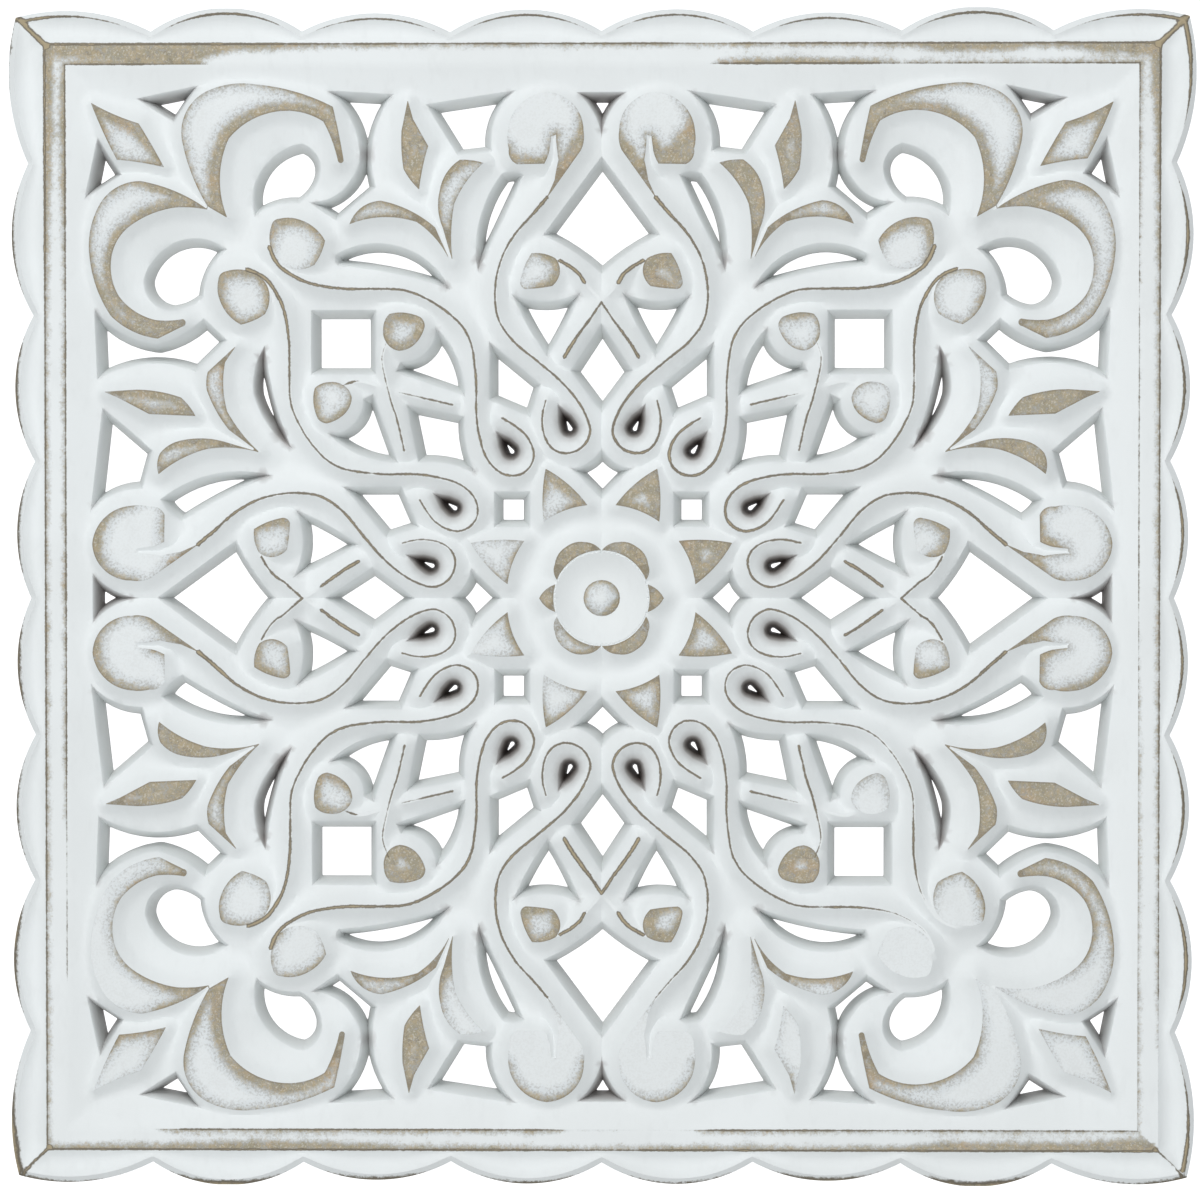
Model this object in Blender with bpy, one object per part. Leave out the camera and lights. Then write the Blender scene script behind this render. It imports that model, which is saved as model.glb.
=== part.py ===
"""Openwork carved wall panel with a scalloped frame, built as one solid.

The panel is a board cut right through between its scrolls, leaves and curls.
Every crest line and flat lies in the board's original face; from there the
surface falls away as a bevel, and each opening has tapered walls down to the
back.  One quarter is worked out in pattern units and mirrored twice.

Frame: X to the right, Z up, the front looks towards -Y, the flat back lies in
Y = 0, and the origin is the centre of the back.
"""
import math

import bpy
import numpy as np
from mathutils import Vector
from mathutils.geometry import delaunay_2d_cdt

# ---------------------------------------------------------------------------
# Driving dimensions
# ---------------------------------------------------------------------------
PANEL_WIDTH = 0.400          # over the widest scallops, metres
HALF_UNITS = 592.10          # half of that width, in pattern units
HEIGHT_RATIO = 0.9901        # the pattern is squeezed this much in height
BOARD = 0.015                # thickness of the board
UNIT = PANEL_WIDTH / (2 * HALF_UNITS)
FACE = BOARD / UNIT          # the board's face, in pattern units

DRAFT_RUN = 8.4              # run of an opening's tapered wall, seen from the front
BEVEL = 0.74                 # fall of the bevel per unit beside a crest ...
BEVEL_RUN = 12.0             # ... for this many units
BEVEL_FAR = 0.36             # and beyond them
CREST_HALF = 1.7             # half the width of a thin crest line
UNDER_DROP = 3.0             # how far a crossed stem dips below the one on top

RIM_IN_U, RIM_IN_V = 535.5, 537.5      # inner edge of the flat rim, side and top
RIM_OUT_U, RIM_OUT_V = 556.0, 558.0    # outer edge of the flat rim
RIM_CHAMFER = 0.27           # slope of the frame's inner chamfer
EDGE_BEVEL = 6.0             # width of the small bevel round the outline
EDGE_DROP = 0.7              # its slope
EDGE_SAG = 0.5               # how closely the straight pieces follow a scallop
SCOOP = 0.80                 # depth of a scallop's scoop per unit of its width

DOT_R, DOT_DROP = 18.0, 4.0  # centre dot
COVE_R, COVE_DROP = 47.0, 10.0         # cove round the dot

# ---------------------------------------------------------------------------
# Pattern.  Rings are written as corners (u, v, rise): u across, v up from the
# centre, and the rise of the arc to the next corner, positive where it bows
# outwards.  "Octant" shapes are repeated with u and v exchanged.
# ---------------------------------------------------------------------------
OPEN_AXIS = {
    "head_gap":   [(26, 510, 0), (-26, 510, -5.5), (0, 462, -5.5)],
    "kite_top":   [(59, 366, 0), (0, 446, 0), (-59, 366, -3), (0, 326, -3)],
    "kite_mid":   [(32, 229, 0), (0, 278, 0), (-32, 229, 0), (0, 186, 0)],
    "petal_gap":  [(0, 152, -4.5), (-31, 131, 0), (0, 99, 0), (31, 131, -4.5)],
}
OPEN_DIAGONAL = {
    "square":     [(225, 225, 0), (291, 225, 0), (291, 291, 0), (225, 291, 0)],
    "stem_gap":   [(124, 124, -4.5), (184, 136.5, 0), (196, 196, 0), (136.5, 184, -4.5)],
    "small_square": [(71, 71, 0), (108, 71, 0), (108, 108, 0), (71, 108, 0)],
}
OPEN_OCTANT = {
    "loop_gap":   [(71, 182, 0), (113, 200, 0), (113, 260, 0), (60, 216, 0)],
    "ball_wedge": [(54, 242, 2), (90, 307, -8), (20, 309, 2)],
    "ball_gap":   [(136, 203, 0), (207, 228, 0), (201, 239, -11.5), (167, 275, 8)],
    "corner_gap": [(402, 517, 0), (427, 479, 0), (466, 504, 0)],
}
OPEN_TOP = {
    "head_wedge": [(84, 512, -9.5), (109, 450, 0), (144, 446, 0), (176, 498, 0)],
    "slit":       [(77, 427, 0.5), (124, 328, 11), (100, 428, 3)],
    "eye_gap":    [(151, 311, -4), (264, 335, 2), (266, 347, 27)],
    "curl_eye":   [(347, 384, 21), (300, 459, 7), (281, 428, 4), (303, 398, -5)],
    "leaf_gap":   [(225, 414, 0), (265, 380, 0), (294, 400, -13), (242, 445, -9), (276, 512, 0), (207, 508, -12)],
}
OPEN_SIDE = {
    "head_wedge": [(449, 149, 0), (460, 110, -7), (512, 86, 0), (500, 193, 0)],
    "slit":       [(328, 124, -3), (420, 77, 3), (442, 100, 14)],
    "eye_gap":    [(309, 149, 6), (349, 205, 5), (337, 256, -4)],
    "curl_eye":   [(374, 352, -6), (398, 304, 3), (430, 289, 9), (459, 322, 25)],
    "leaf_gap":   [(374, 260, 0), (406, 228, -12), (505, 220, 0), (508, 294, -8), (445, 257, -4), (398, 283, 0)],
}
POCKETS = {   # teardrop: tip, upper circle (centre, radius), lower circle (centre, radius)
    "loop_a": ((44.5, 197), (35.6, 178.5), 8.9, (32.5, 171.5), 10.5),
    "loop_b": ((107, 170), (95.2, 154.5), 8.9, (91, 148.5), 10.5),
}

# flats at the board's face
FLATS_OCTANT = {
    "head":     [(54, 403.5, 0), (46.3, 421, 0.3), (42.5, 441, 0.5), (45, 467, 0.5), (50, 465, 0), (52, 450, 0.5), (57, 437.5, 0),
                 (84, 437, 3), (92, 452, 1), (93, 470, 10), (55, 509, 11), (18, 470, 1.5), (20.5, 451, 0), (36, 429, 0)],
    "eye":      [(276, 360, 1.4), (286.5, 336, 1.4), (305, 331.5, 1.5), (321, 338, 2), (330, 354, 1.5), (329, 375, 2),
                 (321, 382, 1.5), (301, 381, 3.2)],
    "ball":     [(176.5, 274, 1.5), (186.5, 256, 1.5), (202, 249.5, 1.5), (214, 257, 1.5), (217.5, 272, 1.5),
                 (211.5, 286, 1), (194, 287, 0.5), (181, 283, 1.2)],
    "bud":      [(42, 326, 1), (49, 314.5, 0.5), (76, 311.5, 2), (80.5, 320, 1.5), (69.5, 347, 2), (46, 342, 2)],
    "petal":    [(14.5, 94, -3), (57.5, 77.5, 2), (55.5, 130, 3)],
}
FLATS_DIAGONAL = {
    "corner_leaf": [(437, 434.5, -1), (483.5, 442, 1), (509, 498.5, -1.5), (462, 478, 0.5)],
}
FLATS_TOP = {
    "lobe":     [(1, 48.5, -8), (44.5, 19, 2), (46.3, 34, 2.5), (35, 51.5, 2), (17, 56.3, 2)],
    "crescent_r": [(118, 438, -3), (147, 397, -2), (149, 342, 0), (158, 373, 3), (161, 410, 4), (141, 441, 1)],
    "crescent_l": [(153, 344, -3), (184, 379, -6), (251, 377, 6), (220, 400, 4), (166, 373, 0)],
    "diamond":  [(182, 412, 1), (197, 432, 1), (199, 470, 0), (193, 500, 0), (188, 482, 0), (173, 455, -1)],
    "curl":     [(374, 384, 0), (393, 395, 3), (418, 460, 9), (395, 509.5, 4), (345, 517, 4), (268, 494.5, 0.5),
                 (257.3, 441, 2.4), (262.5, 440.5, -1.5), (277, 480, -3), (315, 491, -7), (372, 463, -8)],
}
FLATS_SIDE = {
    "crescent_r": [(343, 147.5, -3), (395, 150.5, -3), (442.5, 125.5, 2), (441, 146, 2), (421, 158.5, 3.5), (372, 156, 0)],
    "crescent_l": [(343, 148, 0), (372, 170, 2), (394, 210, 1), (393, 228, 0), (366, 253, 0), (376, 238, -3), (374, 188, -2)],
    "diamond":    [(406, 184, 0), (452, 186, 0), (482, 202, 0), (496, 208, 0), (465, 210, 2), (420, 202, 1)],
    "curl":       [(394, 392, -1), (425, 394, -3), (470, 376, -4.5), (490, 340, -3), (482, 304, -4), (445, 280, -1),
                   (418, 281, 3), (419, 274, 0), (443, 262, 4.5), (490, 285, 4), (511, 345, 4.5), (500, 398, 6), (460, 420, 4)],
}
POINTED_LOBE = [(46.5, -13.5, 2), (62, 0, 2), (46.5, 13.5, -1.8)]
# thin crests
CRESTS_OCTANT = {
    "scroll_a": [(54, 403.5), (68, 387), (86.5, 366), (100, 341), (106, 312), (103, 282), (88, 259), (63, 238),
                 (38, 216), (20, 193), (11.5, 172), (14, 159), (23, 149.5), (36, 146), (48, 150), (56, 161), (59, 175),
                 (58.5, 187), (55.5, 199)],
    "scroll_b": [(331.5, 354), (326, 341), (316, 330), (292, 317.5), (260, 312), (228, 311.5), (196, 310), (170, 299), (150, 285),
                 (137, 271), (129, 252), (125, 218), (125, 188), (122, 164), (115.5, 143), (105.5, 130), (94, 124), (81.5, 124.5),
                 (72, 131.5), (67.5, 143), (70, 155), (77, 166), (87.5, 174.5), (99, 181.5)],
    "bud_stem": [(42, 340), (30, 333), (22, 326), (17, 318)],
    "arm":      [(12, 280), (21, 268), (30, 255), (37, 243)],
}
STEM_OVER = [(213, 262), (219, 243), (216, 222), (210, 198), (204, 180), (197, 149)]
ARM_TIP = [(12, 280), (0, 298)]         # on top at the upper and lower crossing, below at the side ones
BUD_TIP = [(17, 318), (0, 299)]         # the other way round
STEM_UNDER = [(262, 213), (243, 219), (222, 214), (204, 208), (187, 204), (149, 195)]
TOP_VALLEYS = [(0, 571), (151, 570), (299, 571), (450, 571)]
SIDE_VALLEYS = [(571, 0), (567, 138), (568, 285), (573, 438)]
CORNER = (585, 585)
TOP_RISE = (22, 18.5, 23.5, 13)
SIDE_RISE = (16, 19, 19, 12.5)


# ---------------------------------------------------------------------------
# Curves
# ---------------------------------------------------------------------------
def arc_side(p, q, rise, pitch):
    """Points along an arc from p up to, not including, q."""
    p, q = np.array(p, float), np.array(q, float)
    chord = q - p
    c = float(np.hypot(*chord))
    if abs(rise) < 1e-6:
        n = max(1, int(round(c / pitch["line"])))
        return [tuple(p + chord * i / n) for i in range(n)]
    out = np.array((chord[1], -chord[0])) / c
    r = (c * c / 4 + rise * rise) / (2 * abs(rise))
    sign = 1 if rise > 0 else -1
    centre = (p + q) / 2 + out * (rise - sign * r)
    a0 = math.atan2(*(p - centre)[::-1])
    sweep = math.atan2(*(q - centre)[::-1]) - a0
    if sign > 0:
        while sweep <= 0:
            sweep += 2 * math.pi
    else:
        while sweep >= 0:
            sweep -= 2 * math.pi
    by_sag = abs(sweep) / (2 * math.acos(max(-1.0, 1 - pitch["sag"] / r)))
    n = max(2, int(math.ceil(by_sag)), int(round(r * abs(sweep) / pitch["line"])))
    return [(centre[0] + r * math.cos(a0 + sweep * i / n),
             centre[1] + r * math.sin(a0 + sweep * i / n)) for i in range(n)]


def ring(corners, pitch):
    """Closed ring of arcs, counter-clockwise."""
    pts = []
    for i, (u, v, rise) in enumerate(corners):
        nxt = corners[(i + 1) % len(corners)]
        pts += arc_side((u, v), nxt[:2], rise, pitch)
    a = np.array(pts)
    b = np.roll(a, -1, 0)
    return a if np.sum(a[:, 0] * b[:, 1] - b[:, 0] * a[:, 1]) > 0 else a[::-1]


def spline(knots, step=2.0):
    """Smooth curve through the knots."""
    k = np.array(knots, float)
    k = np.vstack([2 * k[0] - k[1], k, 2 * k[-1] - k[-2]])
    out = []
    for i in range(1, len(k) - 2):
        p0, p1, p2, p3 = k[i - 1:i + 3]
        n = max(1, int(round(np.hypot(*(p2 - p1)) / step)))
        for j in range(n):
            t = j / n
            out.append(0.5 * (2 * p1 + (p2 - p0) * t + (2 * p0 - 5 * p1 + 4 * p2 - p3) * t ** 2
                              + (3 * p1 - p0 - 3 * p2 + p3) * t ** 3))
    out.append(k[-2])
    return np.array(out)


def thin_out(line, tol):
    """Fewest points of an open line that keep it within tol."""
    line = np.asarray(line, float)
    keep = {0, len(line) - 1}
    stack = [(0, len(line) - 1)]
    while stack:
        i, j = stack.pop()
        if j - i < 2:
            continue
        a, d = line[i], line[j] - line[i]
        rel = line[i + 1:j] - a
        size = float(np.hypot(*d))
        off = np.hypot(rel[:, 0], rel[:, 1]) if size < 1e-9 else np.abs(rel[:, 0] * d[1] - rel[:, 1] * d[0]) / size
        k = int(np.argmax(off))
        if off[k] > tol:
            k += i + 1
            keep.add(k)
            stack += [(i, k), (k, j)]
    return line[sorted(keep)]


def thin_ring(loop, tol):
    """The same for a closed ring, started at its sharpest far point."""
    loop = np.asarray(loop, float)
    s = int(np.argmax(np.hypot(*(loop - loop.mean(0)).T)))
    loop = np.roll(loop, -s, 0)
    m = int(np.argmax(np.hypot(*(loop - loop[0]).T)))
    first = thin_out(loop[:m + 1], tol)
    second = thin_out(np.vstack([loop[m:], loop[:1]]), tol)
    return np.vstack([first[:-1], second[:-1]])


def circle(centre, r, n):
    return [(centre[0] + r * math.cos(2 * math.pi * i / n),
             centre[1] + r * math.sin(2 * math.pi * i / n)) for i in range(n)]


def teardrop(tip, c1, r1, c0, r0, n):
    """Convex ring round two circles and a tip."""
    pts = sorted(set((round(x, 4), round(y, 4)) for x, y in circle(c0, r0, n) + circle(c1, r1, n) + [tip]))

    def half(seq):
        out = []
        for p in seq:
            while len(out) > 1 and ((out[-1][0] - out[-2][0]) * (p[1] - out[-2][1])
                                    - (out[-1][1] - out[-2][1]) * (p[0] - out[-2][0])) <= 0:
                out.pop()
            out.append(p)
        return out
    return np.array(half(pts)[:-1] + half(pts[::-1])[:-1])


def swap(points):
    return np.asarray(points, float)[:, ::-1]


# ---------------------------------------------------------------------------
# Distances
# ---------------------------------------------------------------------------
def distance(points, line, closed):
    """Shortest distance from each point to a line or ring."""
    a = np.asarray(line, float)
    b = np.roll(a, -1, 0) if closed else a[1:]
    if not closed:
        a = a[:-1]
    best = np.full(len(points), 1e9)
    x, y = points[:, 0], points[:, 1]
    for (ax, ay), (bx, by) in zip(a, b):
        dx, dy = bx - ax, by - ay
        size = dx * dx + dy * dy
        if size < 1e-12:
            continue
        t = np.clip(((x - ax) * dx + (y - ay) * dy) / size, 0, 1)
        best = np.minimum(best, (x - ax - t * dx) ** 2 + (y - ay - t * dy) ** 2)
    return np.sqrt(best)


def inside(points, loop):
    """Which points lie within a closed ring."""
    x, y = points[:, 0], points[:, 1]
    res = np.zeros(len(points), bool)
    for (ax, ay), (bx, by) in zip(loop, np.roll(loop, -1, 0)):
        if ay != by:
            res ^= ((ay > y) != (by > y)) & (x < (bx - ax) * (y - ay) / (by - ay) + ax)
    return res


def depth_in(points, loop):
    """Distance inside a ring, negative outside; only near it."""
    res = np.full(len(points), -1.0)
    lo, hi = loop.min(0), loop.max(0)
    near = np.all((points >= lo) & (points <= hi), axis=1)
    if near.any():
        p = points[near]
        d = distance(p, loop, True)
        res[near] = np.where(inside(p, loop), d, -d)
    return res


def level_lines(field, xs, ys, level):
    """Lines where a sampled field crosses a level (marching squares)."""
    f = field - level
    f = np.where(f == 0, 1e-9, f)
    sign = f > 0
    mixed = ~((sign[:-1, :-1] == sign[:-1, 1:]) & (sign[:-1, :-1] == sign[1:, :-1]) & (sign[:-1, :-1] == sign[1:, 1:]))
    point, links = {}, {}

    def cross(i0, j0, i1, j1):
        key = (i0, j0, i1, j1)
        if key not in point:
            t = f[i0, j0] / (f[i0, j0] - f[i1, j1])
            point[key] = (xs[j0] + t * (xs[j1] - xs[j0]), ys[i0] + t * (ys[i1] - ys[i0]))
        return key
    for i, j in zip(*np.nonzero(mixed)):
        i, j = int(i), int(j)
        hit = []
        for e in ((i, j, i, j + 1), (i, j + 1, i + 1, j + 1), (i + 1, j, i + 1, j + 1), (i, j, i + 1, j)):
            if sign[e[0], e[1]] != sign[e[2], e[3]]:
                hit.append(cross(*e))
        for a, b in zip(hit[::2], hit[1::2]):
            links.setdefault(a, []).append(b)
            links.setdefault(b, []).append(a)
    lines, used = [], set()
    starts = [k for k in links if len(links[k]) == 1] + list(links)
    for s in starts:
        if s in used:
            continue
        chain, cur = [s], s
        used.add(s)
        while True:
            nxt = [n for n in links[cur] if n not in used]
            if not nxt:
                break
            cur = nxt[0]
            used.add(cur)
            chain.append(cur)
        closed = len(chain) > 2 and s in links[chain[-1]] and len(links[s]) == 2
        lines.append((np.array([point[k] for k in chain]), closed))
    return lines


def inset(loop, run, cell):
    """Lines at a given distance inside a ring, kept to the quarter."""
    lo, hi = np.maximum(loop.min(0), 0), loop.max(0)
    axes = []
    for k in (0, 1):
        n = int(math.ceil((hi[k] - lo[k]) / cell)) + 1
        axes.append(np.linspace(lo[k], hi[k], n))
    gx, gy = np.meshgrid(*axes)
    p = np.column_stack([gx.ravel(), gy.ravel()])
    d = distance(p, loop, True)
    d = np.where(inside(p, loop) | (d < 1e-9), d, -d).reshape(gx.shape)
    return level_lines(d, axes[0], axes[1], run)


# ---------------------------------------------------------------------------
# Outline of the quarter: scallops from the top middle round to the side middle
# ---------------------------------------------------------------------------
def outline(pitch):
    pts = []
    top = TOP_VALLEYS + [CORNER]
    for i in range(len(TOP_VALLEYS)):
        pts += arc_side(top[i], top[i + 1], -TOP_RISE[i], pitch)
    side = [CORNER] + SIDE_VALLEYS[::-1]
    for i in range(len(SIDE_VALLEYS)):
        pts += arc_side(side[i], side[i + 1], -SIDE_RISE[::-1][i], pitch)
    pts.append(SIDE_VALLEYS[0])
    return np.array(pts)


# ---------------------------------------------------------------------------
# Surface
# ---------------------------------------------------------------------------
def all_flats(pitch):
    rings = []
    for c in FLATS_OCTANT.values():
        r = ring(c, pitch)
        rings += [r, swap(r)[::-1]]
    for group in (FLATS_DIAGONAL, FLATS_TOP, FLATS_SIDE):
        rings += [ring(c, pitch) for c in group.values()]
    rings.append(ring(POINTED_LOBE, pitch))
    return rings


def all_crests():
    """(line, drop below the face) of every thin crest."""
    out = []
    for k in CRESTS_OCTANT.values():
        s = spline(k)
        out += [(s, 0.0), (swap(s), 0.0)]
    out.append((spline(STEM_OVER), 0.0))
    out.append((spline(STEM_UNDER), UNDER_DROP))
    out += [(spline(ARM_TIP), 0.0), (swap(spline(ARM_TIP)), UNDER_DROP)]
    out += [(spline(BUD_TIP), UNDER_DROP), (swap(spline(BUD_TIP)), 0.0)]
    return out


def all_openings(pitch, round_n):
    rings = []
    for group in (OPEN_AXIS, OPEN_OCTANT):
        for c in group.values():
            r = ring(c, pitch)
            rings += [r, swap(r)[::-1]]
    for group in (OPEN_DIAGONAL, OPEN_TOP, OPEN_SIDE):
        rings += [ring(c, pitch) for c in group.values()]
    for c in POCKETS.values():
        r = teardrop(*c, round_n)
        rings += [r, swap(r)[::-1]]
    return rings


def bevel(d):
    return BEVEL * np.minimum(d, BEVEL_RUN) + BEVEL_FAR * np.maximum(d - BEVEL_RUN, 0)


def relief(p, flats, crests, edge, crest_half=CREST_HALF):
    """Height of the carved front, before the openings are cut."""
    u, v = p[:, 0], p[:, 1]
    fall = np.full(len(p), 40.0)
    for r in flats:
        d = distance(p, r, True)
        fall = np.minimum(fall, np.where(inside(p, r), 0, bevel(d)))
    for line, low in crests:
        d = np.maximum(distance(p, line, False) - crest_half, 0)
        fall = np.minimum(fall, low + bevel(d))
    # cove and dot in the middle
    rr = np.hypot(u, v)
    x = np.clip((rr - DOT_R) / (COVE_R - DOT_R), 0, 1)
    cove = COVE_DROP * np.cos(0.5 * math.pi * x)
    dot = DOT_DROP + (COVE_DROP - DOT_DROP) * np.clip(rr / DOT_R, 0, 1) ** 2
    fall = np.where(rr < COVE_R, np.where(rr < DOT_R, dot, cove), fall)
    # frame: inner chamfer, flat rim, scooped scallops, edge bevel
    inner = np.minimum(RIM_IN_U - u, RIM_IN_V - v)
    fall = np.minimum(fall, RIM_CHAMFER * np.maximum(inner, 0))
    beyond = np.maximum(u - RIM_OUT_U, v - RIM_OUT_V)
    rim = (inner < 0) & (beyond < 0)
    fall = np.where(rim, 0, fall)
    to_edge = distance(p, edge, False)
    mitre = np.abs((u - RIM_OUT_U) - (v - RIM_OUT_V)) / math.sqrt(2)
    d1 = np.minimum(np.maximum(beyond, 0), np.where((u > RIM_OUT_U - 60) & (v > RIM_OUT_V - 60), mitre, 1e9))
    d2 = np.maximum(to_edge - EDGE_BEVEL, 0)
    scoop = SCOOP * d1 * d2 / np.maximum(d1 + d2, 1e-6)
    outer = np.where(to_edge < EDGE_BEVEL, EDGE_DROP * (EDGE_BEVEL - to_edge), scoop)
    fall = np.where(beyond >= 0, outer, fall)
    return FACE - fall


def surface(p, flats, crests, edge, openings, crest_half=CREST_HALF):
    """Height of the front with its openings; 0 at an opening's back edge."""
    z = relief(p, flats, crests, edge, crest_half)
    for r in openings:
        d = depth_in(p, r)
        z = np.where(d > 0, z * np.maximum(1 - d / DRAFT_RUN, 0), z)
    return z


# ---------------------------------------------------------------------------
# Mesh of the quarter
# ---------------------------------------------------------------------------
def clip_half(parts, axis):
    """Pieces of open lines with the given coordinate at or above 0."""
    out = []
    for part in parts:
        cur, prev = [], None
        for p in part:
            p = np.array(p, float)
            if abs(p[axis]) < 1e-6:
                p[axis] = 0.0
            if prev is not None and prev[axis] * p[axis] < 0:
                q = prev + (p - prev) * prev[axis] / (prev[axis] - p[axis])
                q[axis] = 0.0
                cur.append(q)
            if p[axis] >= 0:
                cur.append(p)
            elif len(cur):
                out.append(cur)
                cur = []
            prev = p
        if len(cur):
            out.append(cur)
    return [np.array(c) for c in out if len(c) > 1]


def clip_quarter(line, closed):
    """Pieces of a line within the quarter, ending on its axes."""
    line = np.asarray(line, float)
    whole = np.vstack([line, line[:1]]) if closed else line
    return clip_half(clip_half([whole], 0), 1)


def valleys(corners, front, backs, step):
    """Valley of each tail: from a sharp corner to the opening's back edge."""
    out = []
    n = len(corners)
    for i, c in enumerate(corners):
        p = np.array(c[:2], float)
        if p.min() < -1e-6:
            continue
        j = int(np.argmin(np.hypot(*(front - p).T)))
        if np.hypot(*(front[j] - p)) > 0.5:
            continue
        a, b = front[j - 1] - p, front[(j + 1) % len(front)] - p
        turn = math.acos(np.clip(a @ b / (np.hypot(*a) * np.hypot(*b)), -1, 1))
        cross = b[0] * a[1] - b[1] * a[0]
        if cross <= 0 or turn > 2.4:
            continue
        ends = np.vstack(backs) if backs else np.zeros((0, 2))
        if len(ends) == 0:
            continue
        q = ends[int(np.argmin(np.hypot(*(ends - p).T)))]
        size = float(np.hypot(*(q - p)))
        m = max(1, int(round(size / step)))
        if m < 2:
            out.append(np.array([p, q]))
            continue
        side = np.array(((q - p)[1], -(q - p)[0])) / size
        line = [p]
        for k in range(1, m):
            base = p + (q - p) * k / m
            s = np.linspace(-12, 12, 97)
            trial = base + s[:, None] * side
            line.append(trial[int(np.argmax(depth_in(trial, front)))])
        out.append(np.array(line + [q]))
    return out


def inner_offset(edge, by):
    """The outline moved inwards."""
    out = []
    for i, p in enumerate(edge):
        if i == 0:
            out.append((0.0, p[1] - by))
            continue
        if i == len(edge) - 1:
            out.append((p[0] - by, 0.0))
            continue
        a, b = p - edge[i - 1], edge[i + 1] - p
        na, nb = np.array((a[1], -a[0])) / np.hypot(*a), np.array((b[1], -b[0])) / np.hypot(*b)
        m = na + nb
        m /= np.hypot(*m)
        turn = a[0] * b[1] - a[1] * b[0]
        grow = 1.0 if turn > 0 else 1.0 / max(0.3, float(m @ na))
        out.append(tuple(p + m * by * grow))
    return np.array(out)


class Plan:
    """Every line of the quarter that its mesh follows."""

    def __init__(self, pitch, round_n, cell, back_tol, crest_tol, valley_step):
        self.flats = all_flats(pitch)
        self.crests = [(thin_out(line, crest_tol), low) for line, low in all_crests()]
        self.edge = outline({"line": 1e9, "sag": EDGE_SAG})
        self.openings, self.backs, self.lines = [], [], []
        named = []
        for group in (OPEN_AXIS, OPEN_OCTANT):
            for c in group.values():
                named += [(c, 0), (c, 1)]
        for group in (OPEN_DIAGONAL, OPEN_TOP, OPEN_SIDE):
            named += [(c, 0) for c in group.values()]
        for c, swapped in named:
            r = ring(c, pitch)
            corners = c
            if swapped:
                r, corners = swap(r)[::-1], [(v, u, 0) for u, v, _ in c]
            self.add_opening(r, corners, cell, back_tol, valley_step)
        for c in POCKETS.values():
            r = teardrop(*c, round_n)
            self.add_opening(r, [(*c[0], 0)], cell, back_tol, valley_step)
            self.add_opening(swap(r)[::-1], [(c[0][1], c[0][0], 0)], cell, back_tol, valley_step)
        for r in self.flats:
            self.lines += clip_quarter(r, True)
        for line, _ in self.crests:
            self.lines += clip_quarter(line, False)
        self.lines += [np.array([(RIM_IN_U, 0), (RIM_IN_U, RIM_IN_V), (0, RIM_IN_V)]),
                       np.array([(RIM_OUT_U, 0), (RIM_OUT_U, RIM_OUT_V), (0, RIM_OUT_V)])]
        bevel_line = inner_offset(self.edge, EDGE_BEVEL)
        self.lines += [bevel_line, self.edge,
                       np.array([(0, 0), (0, self.edge[0][1])]), np.array([(0, 0), (self.edge[-1][0], 0)])]
        top = bevel_line[int(np.argmax(bevel_line.sum(1)))]
        self.lines += [np.array([(RIM_OUT_U, RIM_OUT_V), top]), np.array([top, CORNER]),
                       np.array([(RIM_IN_U, RIM_IN_V), (RIM_OUT_U, RIM_OUT_V)])]

    def add_opening(self, front, corners, cell, back_tol, valley_step):
        self.openings.append(front)
        self.lines += clip_quarter(front, True)
        back = []
        for line, closed in inset(front, DRAFT_RUN, cell):
            thin = thin_ring(line, back_tol) if closed else thin_out(line, back_tol)
            if closed and len(thin) < 3 or not closed and len(thin) < 2:
                continue
            loop = np.vstack([thin, thin[:1]]) if closed else thin
            back.append(loop)
        self.backs += back
        self.lines += back
        self.lines += valleys(corners, front, back, valley_step)

    def height(self, p):
        z = surface(p, self.flats, self.crests, self.edge, self.openings)
        for loop in self.backs:
            z = np.where(distance(p, loop, False) < 0.02, 0.0, z)
        return z


def triangulate(plan, extra, snap):
    """Constrained triangles of the quarter, with the back openings left out."""
    index, pts, edges = {}, [], []

    def vid(p):
        key = (round(float(p[0]) / 0.02), round(float(p[1]) / 0.02))
        if key not in index:
            index[key] = len(pts)
            pts.append(Vector((float(p[0]), float(p[1]))))
        return index[key]
    for line in plan.lines:
        ids = [vid(p) for p in line]
        edges += [(a, b) for a, b in zip(ids, ids[1:]) if a != b]
    for p in extra:
        vid(p)
    vs, es, fs, _, oe, _ = delaunay_2d_cdt(pts, edges, [], 0, snap)
    v = np.array([tuple(p) for p in vs])
    f = np.array([t for t in fs if len(t) == 3])
    c = v[f].mean(1)
    keep = np.all(c > 0, axis=1)
    border = np.vstack([plan.edge, [(0, 0)]])
    keep &= inside(c, border)
    for loop in plan.backs:
        keep &= ~inside(c, loop)
    return v, f[keep]


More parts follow.
